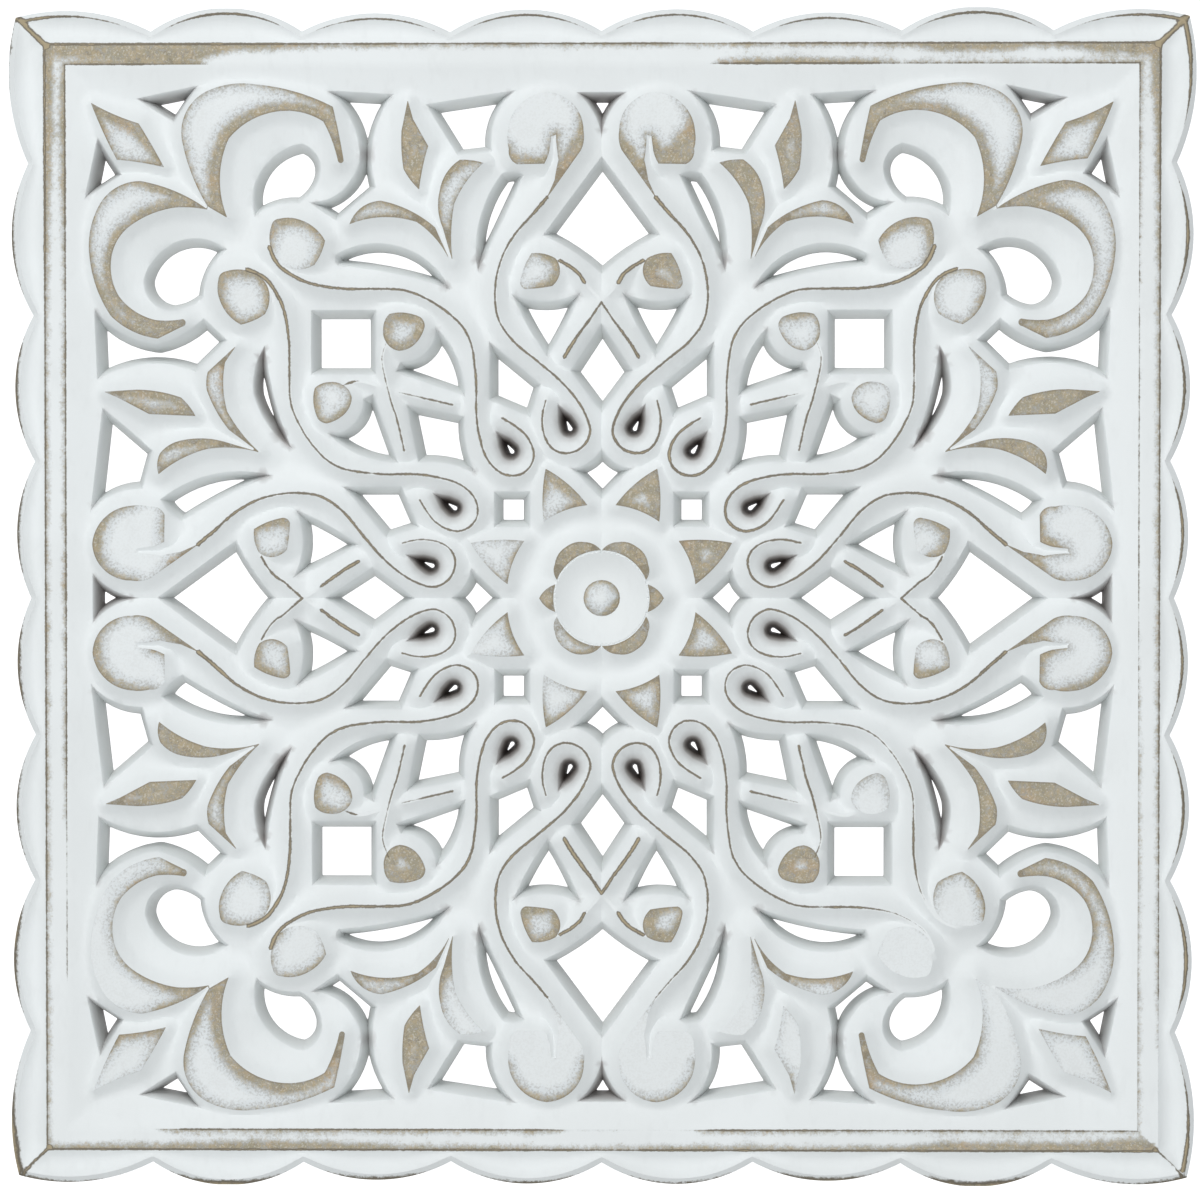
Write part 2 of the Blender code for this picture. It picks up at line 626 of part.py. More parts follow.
def refine(plan, tol_open, tol_wall, rounds, least, snap):
    """Add points where flat triangles would stray from the surface."""
    extra = []
    v, f = triangulate(plan, extra, snap)
    for _ in range(rounds):
        z = plan.height(v)
        probes = []
        for w in ((1 / 3, 1 / 3, 1 / 3), (0.5, 0.5, 0), (0, 0.5, 0.5), (0.5, 0, 0.5)):
            w = np.array(w)
            p = np.einsum("k,nkd->nd", w, v[f])
            probes.append((p, z[f] @ w))
        err = np.array([np.abs(plan.height(p) - guess) for p, guess in probes])
        wall = np.zeros(len(f), bool)
        c = probes[0][0]
        for r in plan.openings:
            wall |= depth_in(c, r) > 0
        a, b, d = v[f[:, 0]], v[f[:, 1]], v[f[:, 2]]
        area = 0.5 * np.abs((b[:, 0] - a[:, 0]) * (d[:, 1] - a[:, 1]) - (b[:, 1] - a[:, 1]) * (d[:, 0] - a[:, 0]))
        longest = np.max([np.hypot(*(b - a).T), np.hypot(*(d - b).T), np.hypot(*(a - d).T)], axis=0)
        worst = err.argmax(0)
        bad = (err.max(0) > np.where(wall, tol_wall, tol_open)) & (2 * area / longest > least)
        if not bad.any():
            break
        order = np.argsort(-err.max(0) * bad)[:int(bad.sum())]
        taken = []
        for k in order:
            p = probes[worst[k]][0][k]
            if all((p[0] - q[0]) ** 2 + (p[1] - q[1]) ** 2 > (2 * least) ** 2 for q in taken):
                taken.append(p)
        extra += taken
        v, f = triangulate(plan, extra, snap)
    return v, f


def close_solid(plan, v, f, z):
    """Four mirrored quarters, their back and their outer wall, as one mesh."""
    pairs = {}
    for t in f:
        for a, b in ((t[0], t[1]), (t[1], t[2]), (t[2], t[0])):
            pairs[(int(a), int(b))] = True
    rim = [(a, b) for a, b in pairs if (b, a) not in pairs]
    on_axis = [(a, b) for a, b in rim
               if max(abs(v[a][0]), abs(v[b][0])) < 1e-4 or max(abs(v[a][1]), abs(v[b][1])) < 1e-4]
    free = [e for e in rim if e not in set(on_axis)]
    outer = [(a, b) for a, b in free if z[a] > 1e-3 or z[b] > 1e-3]
    used = sorted({i for e in free for i in e})
    centre = len(v)
    flat = np.vstack([v[used], [(0.0, 0.0)]])
    place = {i: k for k, i in enumerate(used)}
    along = [sorted([k for k in range(len(flat)) if abs(flat[k][ax]) < 1e-4], key=lambda k: flat[k][1 - ax])
             for ax in (0, 1)]
    edges = [(place[a], place[b]) for a, b in free] + [e for run in along for e in zip(run, run[1:])]
    bv, _, bf, _, _, _ = delaunay_2d_cdt([Vector((float(x), float(y))) for x, y in flat], edges, [], 0, 1e-5)
    bv = np.array([tuple(p) for p in bv])
    bf = np.array([t for t in bf if len(t) == 3])
    c = bv[bf].mean(1)
    keep = np.all(c > 0, axis=1) & inside(c, np.vstack([plan.edge, [(0, 0)]]))
    for loop in plan.backs:
        keep &= ~inside(c, loop)
    bf = bf[keep]
    # gather the quarter's points: front, then the outer edge on the back plane
    points = [(float(v[i][0]), float(v[i][1]), float(z[i])) for i in range(len(v))]
    faces = [tuple(int(i) for i in t) for t in f]
    foot = {}

    def back_id(p):
        k = used[int(np.argmin(np.hypot(*(v[used] - p).T)))] if np.hypot(*p) > 1e-3 else None
        if k is None:
            if centre not in foot:
                foot[centre] = len(points)
                points.append((0.0, 0.0, 0.0))
            return foot[centre]
        if abs(z[k]) < 1e-3:
            return k
        if k not in foot:
            foot[k] = len(points)
            points.append((float(v[k][0]), float(v[k][1]), 0.0))
        return foot[k]
    ids = [back_id(p) for p in bv]
    for t in bf:
        faces.append((ids[t[0]], ids[t[2]], ids[t[1]]))
    for a, b in outer:
        fa, fb = back_id(v[a]), back_id(v[b])
        faces.append((a, fa, fb, b))
    # mirror into the four quarters, welding on the axes
    index, xyz, polys = {}, [], []
    for su, sv in ((1, 1), (-1, 1), (-1, -1), (1, -1)):
        ids = []
        for u, w, h in points:
            u = 0.0 if abs(u) < 1e-4 else u * su
            w = 0.0 if abs(w) < 1e-4 else w * sv
            key = (round(u * 200), round(w * 200), round(h * 200))
            if key not in index:
                index[key] = len(xyz)
                xyz.append((u * UNIT, -h * UNIT, w * UNIT * HEIGHT_RATIO))
            ids.append(index[key])
        for t in faces:
            t = [ids[i] for i in t]
            if len(set(t)) < 3:
                continue
            polys.append(t if su * sv > 0 else t[::-1])
    return xyz, polys


def make_material():
    wood = bpy.data.materials.new("whitewashed_wood")
    wood.use_nodes = True
    skin = wood.node_tree.nodes["Principled BSDF"]
    skin.inputs["Base Color"].default_value = (0.72, 0.72, 0.70, 1.0)
    skin.inputs["Roughness"].default_value = 0.8
    skin.inputs["Metallic"].default_value = 0.0
    wood.diffuse_color = (0.72, 0.72, 0.70, 1.0)
    return wood


def main():
    for old in list(bpy.data.objects):
        bpy.data.objects.remove(old, do_unlink=True)
    plan = Plan(pitch={"line": 1e9, "sag": 1.3}, round_n=8, cell=1.0, back_tol=1.0, crest_tol=1.2, valley_step=22.0)
    v, f = refine(plan, tol_open=3.0, tol_wall=7.0, rounds=3, least=4.0, snap=0.4)
    z = plan.height(v)
    xyz, polys = close_solid(plan, v, f, z)
    mesh = bpy.data.meshes.new("carved_panel")
    mesh.from_pydata(xyz, [], polys)
    mesh.validate()
    mesh.update()
    panel = bpy.data.objects.new("carved_panel", mesh)
    bpy.context.collection.objects.link(panel)
    mesh.materials.append(make_material())
    return plan, v, f, z


main()
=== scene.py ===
"""Looks of the carved openwork wall panel: the same carving as its solid, much
finer, under a worn whitewash, on a plain white backdrop in soft light."""
import math

import bpy
import numpy as np
from mathutils import Matrix, Vector
from mathutils.geometry import delaunay_2d_cdt


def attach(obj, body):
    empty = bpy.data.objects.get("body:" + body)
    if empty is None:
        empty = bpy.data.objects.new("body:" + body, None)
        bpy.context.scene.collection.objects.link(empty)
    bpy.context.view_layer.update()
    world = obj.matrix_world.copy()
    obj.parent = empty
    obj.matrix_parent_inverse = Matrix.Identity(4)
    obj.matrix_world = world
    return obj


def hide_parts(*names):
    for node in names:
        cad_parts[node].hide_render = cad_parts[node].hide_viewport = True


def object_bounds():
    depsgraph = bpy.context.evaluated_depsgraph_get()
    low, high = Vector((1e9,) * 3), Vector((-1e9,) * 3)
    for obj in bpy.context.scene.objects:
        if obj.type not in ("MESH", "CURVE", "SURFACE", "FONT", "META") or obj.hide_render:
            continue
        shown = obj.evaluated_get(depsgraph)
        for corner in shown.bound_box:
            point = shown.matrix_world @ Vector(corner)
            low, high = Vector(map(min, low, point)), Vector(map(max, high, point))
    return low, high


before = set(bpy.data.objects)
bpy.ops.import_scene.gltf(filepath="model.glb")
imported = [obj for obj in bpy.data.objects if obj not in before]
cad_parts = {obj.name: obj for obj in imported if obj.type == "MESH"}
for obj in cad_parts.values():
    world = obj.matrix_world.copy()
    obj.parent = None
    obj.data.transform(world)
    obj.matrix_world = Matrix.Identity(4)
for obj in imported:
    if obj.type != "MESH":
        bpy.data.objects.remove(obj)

CAD_BOX = [[float(c) for c in p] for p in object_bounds()]

# ---------------------------------------------------------------------------
# Sizes, as in the solid.  One pattern unit is 1/1183 of the panel's width.
# ---------------------------------------------------------------------------
PANEL_WIDTH = 0.400          # over the widest scallops, metres
HALF_UNITS = 592.10          # half of that width, in pattern units
HEIGHT_RATIO = 0.9901        # the pattern is squeezed this much in height
BOARD = 0.015                # thickness of the board
UNIT = PANEL_WIDTH / (2 * HALF_UNITS)
FACE = BOARD / UNIT          # the board's face, in pattern units

DRAFT_RUN = 8.4              # run of an opening's tapered wall, seen from the front
BEVEL = 0.74                 # fall of the bevel per unit beside a crest ...
BEVEL_RUN = 12.0             # ... for this many units
BEVEL_FAR = 0.36             # and beyond them
CREST_HALF = 1.7             # half the width of a thin crest line
UNDER_DROP = 3.0             # how far a crossed stem dips below the one on top

RIM_IN_U, RIM_IN_V = 535.5, 537.5      # inner edge of the flat rim, side and top
RIM_OUT_U, RIM_OUT_V = 556.0, 558.0    # outer edge of the flat rim
RIM_CHAMFER = 0.27           # slope of the frame's inner chamfer
EDGE_BEVEL = 6.0             # width of the small bevel round the outline
EDGE_DROP = 0.7              # its slope
EDGE_SAG = 0.5               # how closely the straight pieces follow a scallop
SCOOP = 0.80                 # depth of a scallop's scoop per unit of its width

DOT_R, DOT_DROP = 18.0, 4.0  # centre dot
COVE_R, COVE_DROP = 47.0, 10.0         # cove round the dot

# ---------------------------------------------------------------------------
# Pattern.  Rings are written as corners (u, v, rise): u across, v up from the
# centre, and the rise of the arc to the next corner, positive where it bows
# outwards.  "Octant" shapes are repeated with u and v exchanged.
# ---------------------------------------------------------------------------
OPEN_AXIS = {
    "head_gap":   [(26, 510, 0), (-26, 510, -5.5), (0, 462, -5.5)],
    "kite_top":   [(59, 366, 0), (0, 446, 0), (-59, 366, -3), (0, 326, -3)],
    "kite_mid":   [(32, 229, 0), (0, 278, 0), (-32, 229, 0), (0, 186, 0)],
    "petal_gap":  [(0, 152, -4.5), (-31, 131, 0), (0, 99, 0), (31, 131, -4.5)],
}
OPEN_DIAGONAL = {
    "square":     [(225, 225, 0), (291, 225, 0), (291, 291, 0), (225, 291, 0)],
    "stem_gap":   [(124, 124, -4.5), (184, 136.5, 0), (196, 196, 0), (136.5, 184, -4.5)],
    "small_square": [(71, 71, 0), (108, 71, 0), (108, 108, 0), (71, 108, 0)],
}
OPEN_OCTANT = {
    "loop_gap":   [(71, 182, 0), (113, 200, 0), (113, 260, 0), (60, 216, 0)],
    "ball_wedge": [(54, 242, 2), (90, 307, -8), (20, 309, 2)],
    "ball_gap":   [(136, 203, 0), (207, 228, 0), (201, 239, -11.5), (167, 275, 8)],
    "corner_gap": [(402, 517, 0), (427, 479, 0), (466, 504, 0)],
}
OPEN_TOP = {
    "head_wedge": [(84, 512, -9.5), (109, 450, 0), (144, 446, 0), (176, 498, 0)],
    "slit":       [(77, 427, 0.5), (124, 328, 11), (100, 428, 3)],
    "eye_gap":    [(151, 311, -4), (264, 335, 2), (266, 347, 27)],
    "curl_eye":   [(347, 384, 21), (300, 459, 7), (281, 428, 4), (303, 398, -5)],
    "leaf_gap":   [(225, 414, 0), (265, 380, 0), (294, 400, -13), (242, 445, -9), (276, 512, 0), (207, 508, -12)],
}
OPEN_SIDE = {
    "head_wedge": [(449, 149, 0), (460, 110, -7), (512, 86, 0), (500, 193, 0)],
    "slit":       [(328, 124, -3), (420, 77, 3), (442, 100, 14)],
    "eye_gap":    [(309, 149, 6), (349, 205, 5), (337, 256, -4)],
    "curl_eye":   [(374, 352, -6), (398, 304, 3), (430, 289, 9), (459, 322, 25)],
    "leaf_gap":   [(374, 260, 0), (406, 228, -12), (505, 220, 0), (508, 294, -8), (445, 257, -4), (398, 283, 0)],
}
POCKETS = {   # teardrop: tip, upper circle (centre, radius), lower circle (centre, radius)
    "loop_a": ((44.5, 197), (35.6, 178.5), 8.9, (32.5, 171.5), 10.5),
    "loop_b": ((107, 170), (95.2, 154.5), 8.9, (91, 148.5), 10.5),
}

# flats at the board's face
FLATS_OCTANT = {
    "head":     [(54, 403.5, 0), (46.3, 421, 0.3), (42.5, 441, 0.5), (45, 467, 0.5), (50, 465, 0), (52, 450, 0.5), (57, 437.5, 0),
                 (84, 437, 3), (92, 452, 1), (93, 470, 10), (55, 509, 11), (18, 470, 1.5), (20.5, 451, 0), (36, 429, 0)],
    "eye":      [(276, 360, 1.4), (286.5, 336, 1.4), (305, 331.5, 1.5), (321, 338, 2), (330, 354, 1.5), (329, 375, 2),
                 (321, 382, 1.5), (301, 381, 3.2)],
    "ball":     [(176.5, 274, 1.5), (186.5, 256, 1.5), (202, 249.5, 1.5), (214, 257, 1.5), (217.5, 272, 1.5),
                 (211.5, 286, 1), (194, 287, 0.5), (181, 283, 1.2)],
    "bud":      [(42, 326, 1), (49, 314.5, 0.5), (76, 311.5, 2), (80.5, 320, 1.5), (69.5, 347, 2), (46, 342, 2)],
    "petal":    [(14.5, 94, -3), (57.5, 77.5, 2), (55.5, 130, 3)],
}
FLATS_DIAGONAL = {
    "corner_leaf": [(437, 434.5, -1), (483.5, 442, 1), (509, 498.5, -1.5), (462, 478, 0.5)],
}
FLATS_TOP = {
    "lobe":     [(1, 48.5, -8), (44.5, 19, 2), (46.3, 34, 2.5), (35, 51.5, 2), (17, 56.3, 2)],
    "crescent_r": [(118, 438, -3), (147, 397, -2), (149, 342, 0), (158, 373, 3), (161, 410, 4), (141, 441, 1)],
    "crescent_l": [(153, 344, -3), (184, 379, -6), (251, 377, 6), (220, 400, 4), (166, 373, 0)],
    "diamond":  [(182, 412, 1), (197, 432, 1), (199, 470, 0), (193, 500, 0), (188, 482, 0), (173, 455, -1)],
    "curl":     [(374, 384, 0), (393, 395, 3), (418, 460, 9), (395, 509.5, 4), (345, 517, 4), (268, 494.5, 0.5),
                 (257.3, 441, 2.4), (262.5, 440.5, -1.5), (277, 480, -3), (315, 491, -7), (372, 463, -8)],
}
FLATS_SIDE = {
    "crescent_r": [(343, 147.5, -3), (395, 150.5, -3), (442.5, 125.5, 2), (441, 146, 2), (421, 158.5, 3.5), (372, 156, 0)],
    "crescent_l": [(343, 148, 0), (372, 170, 2), (394, 210, 1), (393, 228, 0), (366, 253, 0), (376, 238, -3), (374, 188, -2)],
    "diamond":    [(406, 184, 0), (452, 186, 0), (482, 202, 0), (496, 208, 0), (465, 210, 2), (420, 202, 1)],
    "curl":       [(394, 392, -1), (425, 394, -3), (470, 376, -4.5), (490, 340, -3), (482, 304, -4), (445, 280, -1),
                   (418, 281, 3), (419, 274, 0), (443, 262, 4.5), (490, 285, 4), (511, 345, 4.5), (500, 398, 6), (460, 420, 4)],
}
POINTED_LOBE = [(46.5, -13.5, 2), (62, 0, 2), (46.5, 13.5, -1.8)]
# thin crests
CRESTS_OCTANT = {
    "scroll_a": [(54, 403.5), (68, 387), (86.5, 366), (100, 341), (106, 312), (103, 282), (88, 259), (63, 238),
                 (38, 216), (20, 193), (11.5, 172), (14, 159), (23, 149.5), (36, 146), (48, 150), (56, 161), (59, 175),
                 (58.5, 187), (55.5, 199)],
    "scroll_b": [(331.5, 354), (326, 341), (316, 330), (292, 317.5), (260, 312), (228, 311.5), (196, 310), (170, 299), (150, 285),
                 (137, 271), (129, 252), (125, 218), (125, 188), (122, 164), (115.5, 143), (105.5, 130), (94, 124), (81.5, 124.5),
                 (72, 131.5), (67.5, 143), (70, 155), (77, 166), (87.5, 174.5), (99, 181.5)],
    "bud_stem": [(42, 340), (30, 333), (22, 326), (17, 318)],
    "arm":      [(12, 280), (21, 268), (30, 255), (37, 243)],
}
STEM_OVER = [(213, 262), (219, 243), (216, 222), (210, 198), (204, 180), (197, 149)]
ARM_TIP = [(12, 280), (0, 298)]         # on top at the upper and lower crossing, below at the side ones
BUD_TIP = [(17, 318), (0, 299)]         # the other way round
STEM_UNDER = [(262, 213), (243, 219), (222, 214), (204, 208), (187, 204), (149, 195)]
TOP_VALLEYS = [(0, 571), (151, 570), (299, 571), (450, 571)]
SIDE_VALLEYS = [(571, 0), (567, 138), (568, 285), (573, 438)]
CORNER = (585, 585)
TOP_RISE = (22, 18.5, 23.5, 13)
SIDE_RISE = (16, 19, 19, 12.5)


# ---------------------------------------------------------------------------
# Curves
# ---------------------------------------------------------------------------
def arc_side(p, q, rise, pitch):
    """Points along an arc from p up to, not including, q."""
    p, q = np.array(p, float), np.array(q, float)
    chord = q - p
    c = float(np.hypot(*chord))
    if abs(rise) < 1e-6:
        n = max(1, int(round(c / pitch["line"])))
        return [tuple(p + chord * i / n) for i in range(n)]
    out = np.array((chord[1], -chord[0])) / c
    r = (c * c / 4 + rise * rise) / (2 * abs(rise))
    sign = 1 if rise > 0 else -1
    centre = (p + q) / 2 + out * (rise - sign * r)
    a0 = math.atan2(*(p - centre)[::-1])
    sweep = math.atan2(*(q - centre)[::-1]) - a0
    if sign > 0:
        while sweep <= 0:
            sweep += 2 * math.pi
    else:
        while sweep >= 0:
            sweep -= 2 * math.pi
    by_sag = abs(sweep) / (2 * math.acos(max(-1.0, 1 - pitch["sag"] / r)))
    n = max(2, int(math.ceil(by_sag)), int(round(r * abs(sweep) / pitch["line"])))
    return [(centre[0] + r * math.cos(a0 + sweep * i / n),
             centre[1] + r * math.sin(a0 + sweep * i / n)) for i in range(n)]


def ring(corners, pitch):
    """Closed ring of arcs, counter-clockwise."""
    pts = []
    for i, (u, v, rise) in enumerate(corners):
        nxt = corners[(i + 1) % len(corners)]
        pts += arc_side((u, v), nxt[:2], rise, pitch)
    a = np.array(pts)
    b = np.roll(a, -1, 0)
    return a if np.sum(a[:, 0] * b[:, 1] - b[:, 0] * a[:, 1]) > 0 else a[::-1]


def spline(knots, step=2.0):
    """Smooth curve through the knots."""
    k = np.array(knots, float)
    k = np.vstack([2 * k[0] - k[1], k, 2 * k[-1] - k[-2]])
    out = []
    for i in range(1, len(k) - 2):
        p0, p1, p2, p3 = k[i - 1:i + 3]
        n = max(1, int(round(np.hypot(*(p2 - p1)) / step)))
        for j in range(n):
            t = j / n
            out.append(0.5 * (2 * p1 + (p2 - p0) * t + (2 * p0 - 5 * p1 + 4 * p2 - p3) * t ** 2
                              + (3 * p1 - p0 - 3 * p2 + p3) * t ** 3))
    out.append(k[-2])
    return np.array(out)


def thin_out(line, tol):
    """Fewest points of an open line that keep it within tol."""
    line = np.asarray(line, float)
    keep = {0, len(line) - 1}
    stack = [(0, len(line) - 1)]
    while stack:
        i, j = stack.pop()
        if j - i < 2:
            continue
        a, d = line[i], line[j] - line[i]
        rel = line[i + 1:j] - a
        size = float(np.hypot(*d))
        off = np.hypot(rel[:, 0], rel[:, 1]) if size < 1e-9 else np.abs(rel[:, 0] * d[1] - rel[:, 1] * d[0]) / size
        k = int(np.argmax(off))
        if off[k] > tol:
            k += i + 1
            keep.add(k)
            stack += [(i, k), (k, j)]
    return line[sorted(keep)]


def thin_ring(loop, tol):
    """The same for a closed ring, started at its sharpest far point."""
    loop = np.asarray(loop, float)
    s = int(np.argmax(np.hypot(*(loop - loop.mean(0)).T)))
    loop = np.roll(loop, -s, 0)
    m = int(np.argmax(np.hypot(*(loop - loop[0]).T)))
    first = thin_out(loop[:m + 1], tol)
    second = thin_out(np.vstack([loop[m:], loop[:1]]), tol)
    return np.vstack([first[:-1], second[:-1]])


def circle(centre, r, n):
    return [(centre[0] + r * math.cos(2 * math.pi * i / n),
             centre[1] + r * math.sin(2 * math.pi * i / n)) for i in range(n)]


def teardrop(tip, c1, r1, c0, r0, n):
    """Convex ring round two circles and a tip."""
    pts = sorted(set((round(x, 4), round(y, 4)) for x, y in circle(c0, r0, n) + circle(c1, r1, n) + [tip]))

    def half(seq):
        out = []
        for p in seq:
            while len(out) > 1 and ((out[-1][0] - out[-2][0]) * (p[1] - out[-2][1])
                                    - (out[-1][1] - out[-2][1]) * (p[0] - out[-2][0])) <= 0:
                out.pop()
            out.append(p)
        return out
    return np.array(half(pts)[:-1] + half(pts[::-1])[:-1])


def swap(points):
    return np.asarray(points, float)[:, ::-1]


# ---------------------------------------------------------------------------
# Distances
# ---------------------------------------------------------------------------
def distance(points, line, closed):
    """Shortest distance from each point to a line or ring."""
    a = np.asarray(line, float)
    b = np.roll(a, -1, 0) if closed else a[1:]
    if not closed:
        a = a[:-1]
    best = np.full(len(points), 1e9)
    x, y = points[:, 0], points[:, 1]
    for (ax, ay), (bx, by) in zip(a, b):
        dx, dy = bx - ax, by - ay
        size = dx * dx + dy * dy
        if size < 1e-12:
            continue
        t = np.clip(((x - ax) * dx + (y - ay) * dy) / size, 0, 1)
        best = np.minimum(best, (x - ax - t * dx) ** 2 + (y - ay - t * dy) ** 2)
    return np.sqrt(best)


def inside(points, loop):
    """Which points lie within a closed ring."""
    x, y = points[:, 0], points[:, 1]
    res = np.zeros(len(points), bool)
    for (ax, ay), (bx, by) in zip(loop, np.roll(loop, -1, 0)):
        if ay != by:
            res ^= ((ay > y) != (by > y)) & (x < (bx - ax) * (y - ay) / (by - ay) + ax)
    return res


def depth_in(points, loop):
    """Distance inside a ring, negative outside; only near it."""
    res = np.full(len(points), -1.0)
    lo, hi = loop.min(0), loop.max(0)
    near = np.all((points >= lo) & (points <= hi), axis=1)
    if near.any():
        p = points[near]
        d = distance(p, loop, True)
        res[near] = np.where(inside(p, loop), d, -d)
    return res


def level_lines(field, xs, ys, level):
    """Lines where a sampled field crosses a level (marching squares)."""
    f = field - level
    f = np.where(f == 0, 1e-9, f)
    sign = f > 0
    mixed = ~((sign[:-1, :-1] == sign[:-1, 1:]) & (sign[:-1, :-1] == sign[1:, :-1]) & (sign[:-1, :-1] == sign[1:, 1:]))
    point, links = {}, {}

    def cross(i0, j0, i1, j1):
        key = (i0, j0, i1, j1)
        if key not in point:
            t = f[i0, j0] / (f[i0, j0] - f[i1, j1])
            point[key] = (xs[j0] + t * (xs[j1] - xs[j0]), ys[i0] + t * (ys[i1] - ys[i0]))
        return key
    for i, j in zip(*np.nonzero(mixed)):
        i, j = int(i), int(j)
        hit = []
        for e in ((i, j, i, j + 1), (i, j + 1, i + 1, j + 1), (i + 1, j, i + 1, j + 1), (i, j, i + 1, j)):
            if sign[e[0], e[1]] != sign[e[2], e[3]]:
                hit.append(cross(*e))
        for a, b in zip(hit[::2], hit[1::2]):
            links.setdefault(a, []).append(b)
            links.setdefault(b, []).append(a)
    lines, used = [], set()
    starts = [k for k in links if len(links[k]) == 1] + list(links)
    for s in starts:
        if s in used:
            continue
        chain, cur = [s], s
        used.add(s)
        while True:
            nxt = [n for n in links[cur] if n not in used]
            if not nxt:
                break
            cur = nxt[0]
            used.add(cur)
            chain.append(cur)
        closed = len(chain) > 2 and s in links[chain[-1]] and len(links[s]) == 2
        lines.append((np.array([point[k] for k in chain]), closed))
    return lines


def inset(loop, run, cell):
    """Lines at a given distance inside a ring, kept to the quarter."""
    lo, hi = np.maximum(loop.min(0), 0), loop.max(0)
    axes = []
    for k in (0, 1):
        n = int(math.ceil((hi[k] - lo[k]) / cell)) + 1
        axes.append(np.linspace(lo[k], hi[k], n))
    gx, gy = np.meshgrid(*axes)
    p = np.column_stack([gx.ravel(), gy.ravel()])
    d = distance(p, loop, True)
    d = np.where(inside(p, loop) | (d < 1e-9), d, -d).reshape(gx.shape)
    return level_lines(d, axes[0], axes[1], run)


# ---------------------------------------------------------------------------
# Outline of the quarter: scallops from the top middle round to the side middle
# ---------------------------------------------------------------------------
def outline(pitch):
    pts = []
    top = TOP_VALLEYS + [CORNER]
    for i in range(len(TOP_VALLEYS)):
        pts += arc_side(top[i], top[i + 1], -TOP_RISE[i], pitch)
    side = [CORNER] + SIDE_VALLEYS[::-1]
    for i in range(len(SIDE_VALLEYS)):
        pts += arc_side(side[i], side[i + 1], -SIDE_RISE[::-1][i], pitch)
    pts.append(SIDE_VALLEYS[0])
    return np.array(pts)


# ---------------------------------------------------------------------------
# Surface
# ---------------------------------------------------------------------------
def all_flats(pitch):
    rings = []
    for c in FLATS_OCTANT.values():
        r = ring(c, pitch)
        rings += [r, swap(r)[::-1]]
    for group in (FLATS_DIAGONAL, FLATS_TOP, FLATS_SIDE):
        rings += [ring(c, pitch) for c in group.values()]
    rings.append(ring(POINTED_LOBE, pitch))
    return rings


def all_crests():
    """(line, drop below the face) of every thin crest."""
    out = []
    for k in CRESTS_OCTANT.values():
        s = spline(k)
        out += [(s, 0.0), (swap(s), 0.0)]
    out.append((spline(STEM_OVER), 0.0))
    out.append((spline(STEM_UNDER), UNDER_DROP))
    out += [(spline(ARM_TIP), 0.0), (swap(spline(ARM_TIP)), UNDER_DROP)]
    out += [(spline(BUD_TIP), UNDER_DROP), (swap(spline(BUD_TIP)), 0.0)]
    return out


def all_openings(pitch, round_n):
    rings = []
    for group in (OPEN_AXIS, OPEN_OCTANT):
        for c in group.values():
            r = ring(c, pitch)
            rings += [r, swap(r)[::-1]]
    for group in (OPEN_DIAGONAL, OPEN_TOP, OPEN_SIDE):
        rings += [ring(c, pitch) for c in group.values()]
    for c in POCKETS.values():
        r = teardrop(*c, round_n)
        rings += [r, swap(r)[::-1]]
    return rings


def bevel(d):
    return BEVEL * np.minimum(d, BEVEL_RUN) + BEVEL_FAR * np.maximum(d - BEVEL_RUN, 0)


def relief(p, flats, crests, edge, crest_half=CREST_HALF):
    """Height of the carved front, before the openings are cut."""
    u, v = p[:, 0], p[:, 1]
    fall = np.full(len(p), 40.0)
    for r in flats:
        d = distance(p, r, True)
        fall = np.minimum(fall, np.where(inside(p, r), 0, bevel(d)))
    for line, low in crests:
        d = np.maximum(distance(p, line, False) - crest_half, 0)
        fall = np.minimum(fall, low + bevel(d))
    # cove and dot in the middle
    rr = np.hypot(u, v)
    x = np.clip((rr - DOT_R) / (COVE_R - DOT_R), 0, 1)
    cove = COVE_DROP * np.cos(0.5 * math.pi * x)
    dot = DOT_DROP + (COVE_DROP - DOT_DROP) * np.clip(rr / DOT_R, 0, 1) ** 2
    fall = np.where(rr < COVE_R, np.where(rr < DOT_R, dot, cove), fall)
    # frame: inner chamfer, flat rim, scooped scallops, edge bevel
    inner = np.minimum(RIM_IN_U - u, RIM_IN_V - v)
    fall = np.minimum(fall, RIM_CHAMFER * np.maximum(inner, 0))
    beyond = np.maximum(u - RIM_OUT_U, v - RIM_OUT_V)
    rim = (inner < 0) & (beyond < 0)
    fall = np.where(rim, 0, fall)
    to_edge = distance(p, edge, False)
    mitre = np.abs((u - RIM_OUT_U) - (v - RIM_OUT_V)) / math.sqrt(2)
    d1 = np.minimum(np.maximum(beyond, 0), np.where((u > RIM_OUT_U - 60) & (v > RIM_OUT_V - 60), mitre, 1e9))
    d2 = np.maximum(to_edge - EDGE_BEVEL, 0)
    scoop = SCOOP * d1 * d2 / np.maximum(d1 + d2, 1e-6)
    outer = np.where(to_edge < EDGE_BEVEL, EDGE_DROP * (EDGE_BEVEL - to_edge), scoop)
    fall = np.where(beyond >= 0, outer, fall)
    return FACE - fall


def surface(p, flats, crests, edge, openings, crest_half=CREST_HALF):
    """Height of the front with its openings; 0 at an opening's back edge."""
    z = relief(p, flats, crests, edge, crest_half)
    for r in openings:
        d = depth_in(p, r)
        z = np.where(d > 0, z * np.maximum(1 - d / DRAFT_RUN, 0), z)
    return z


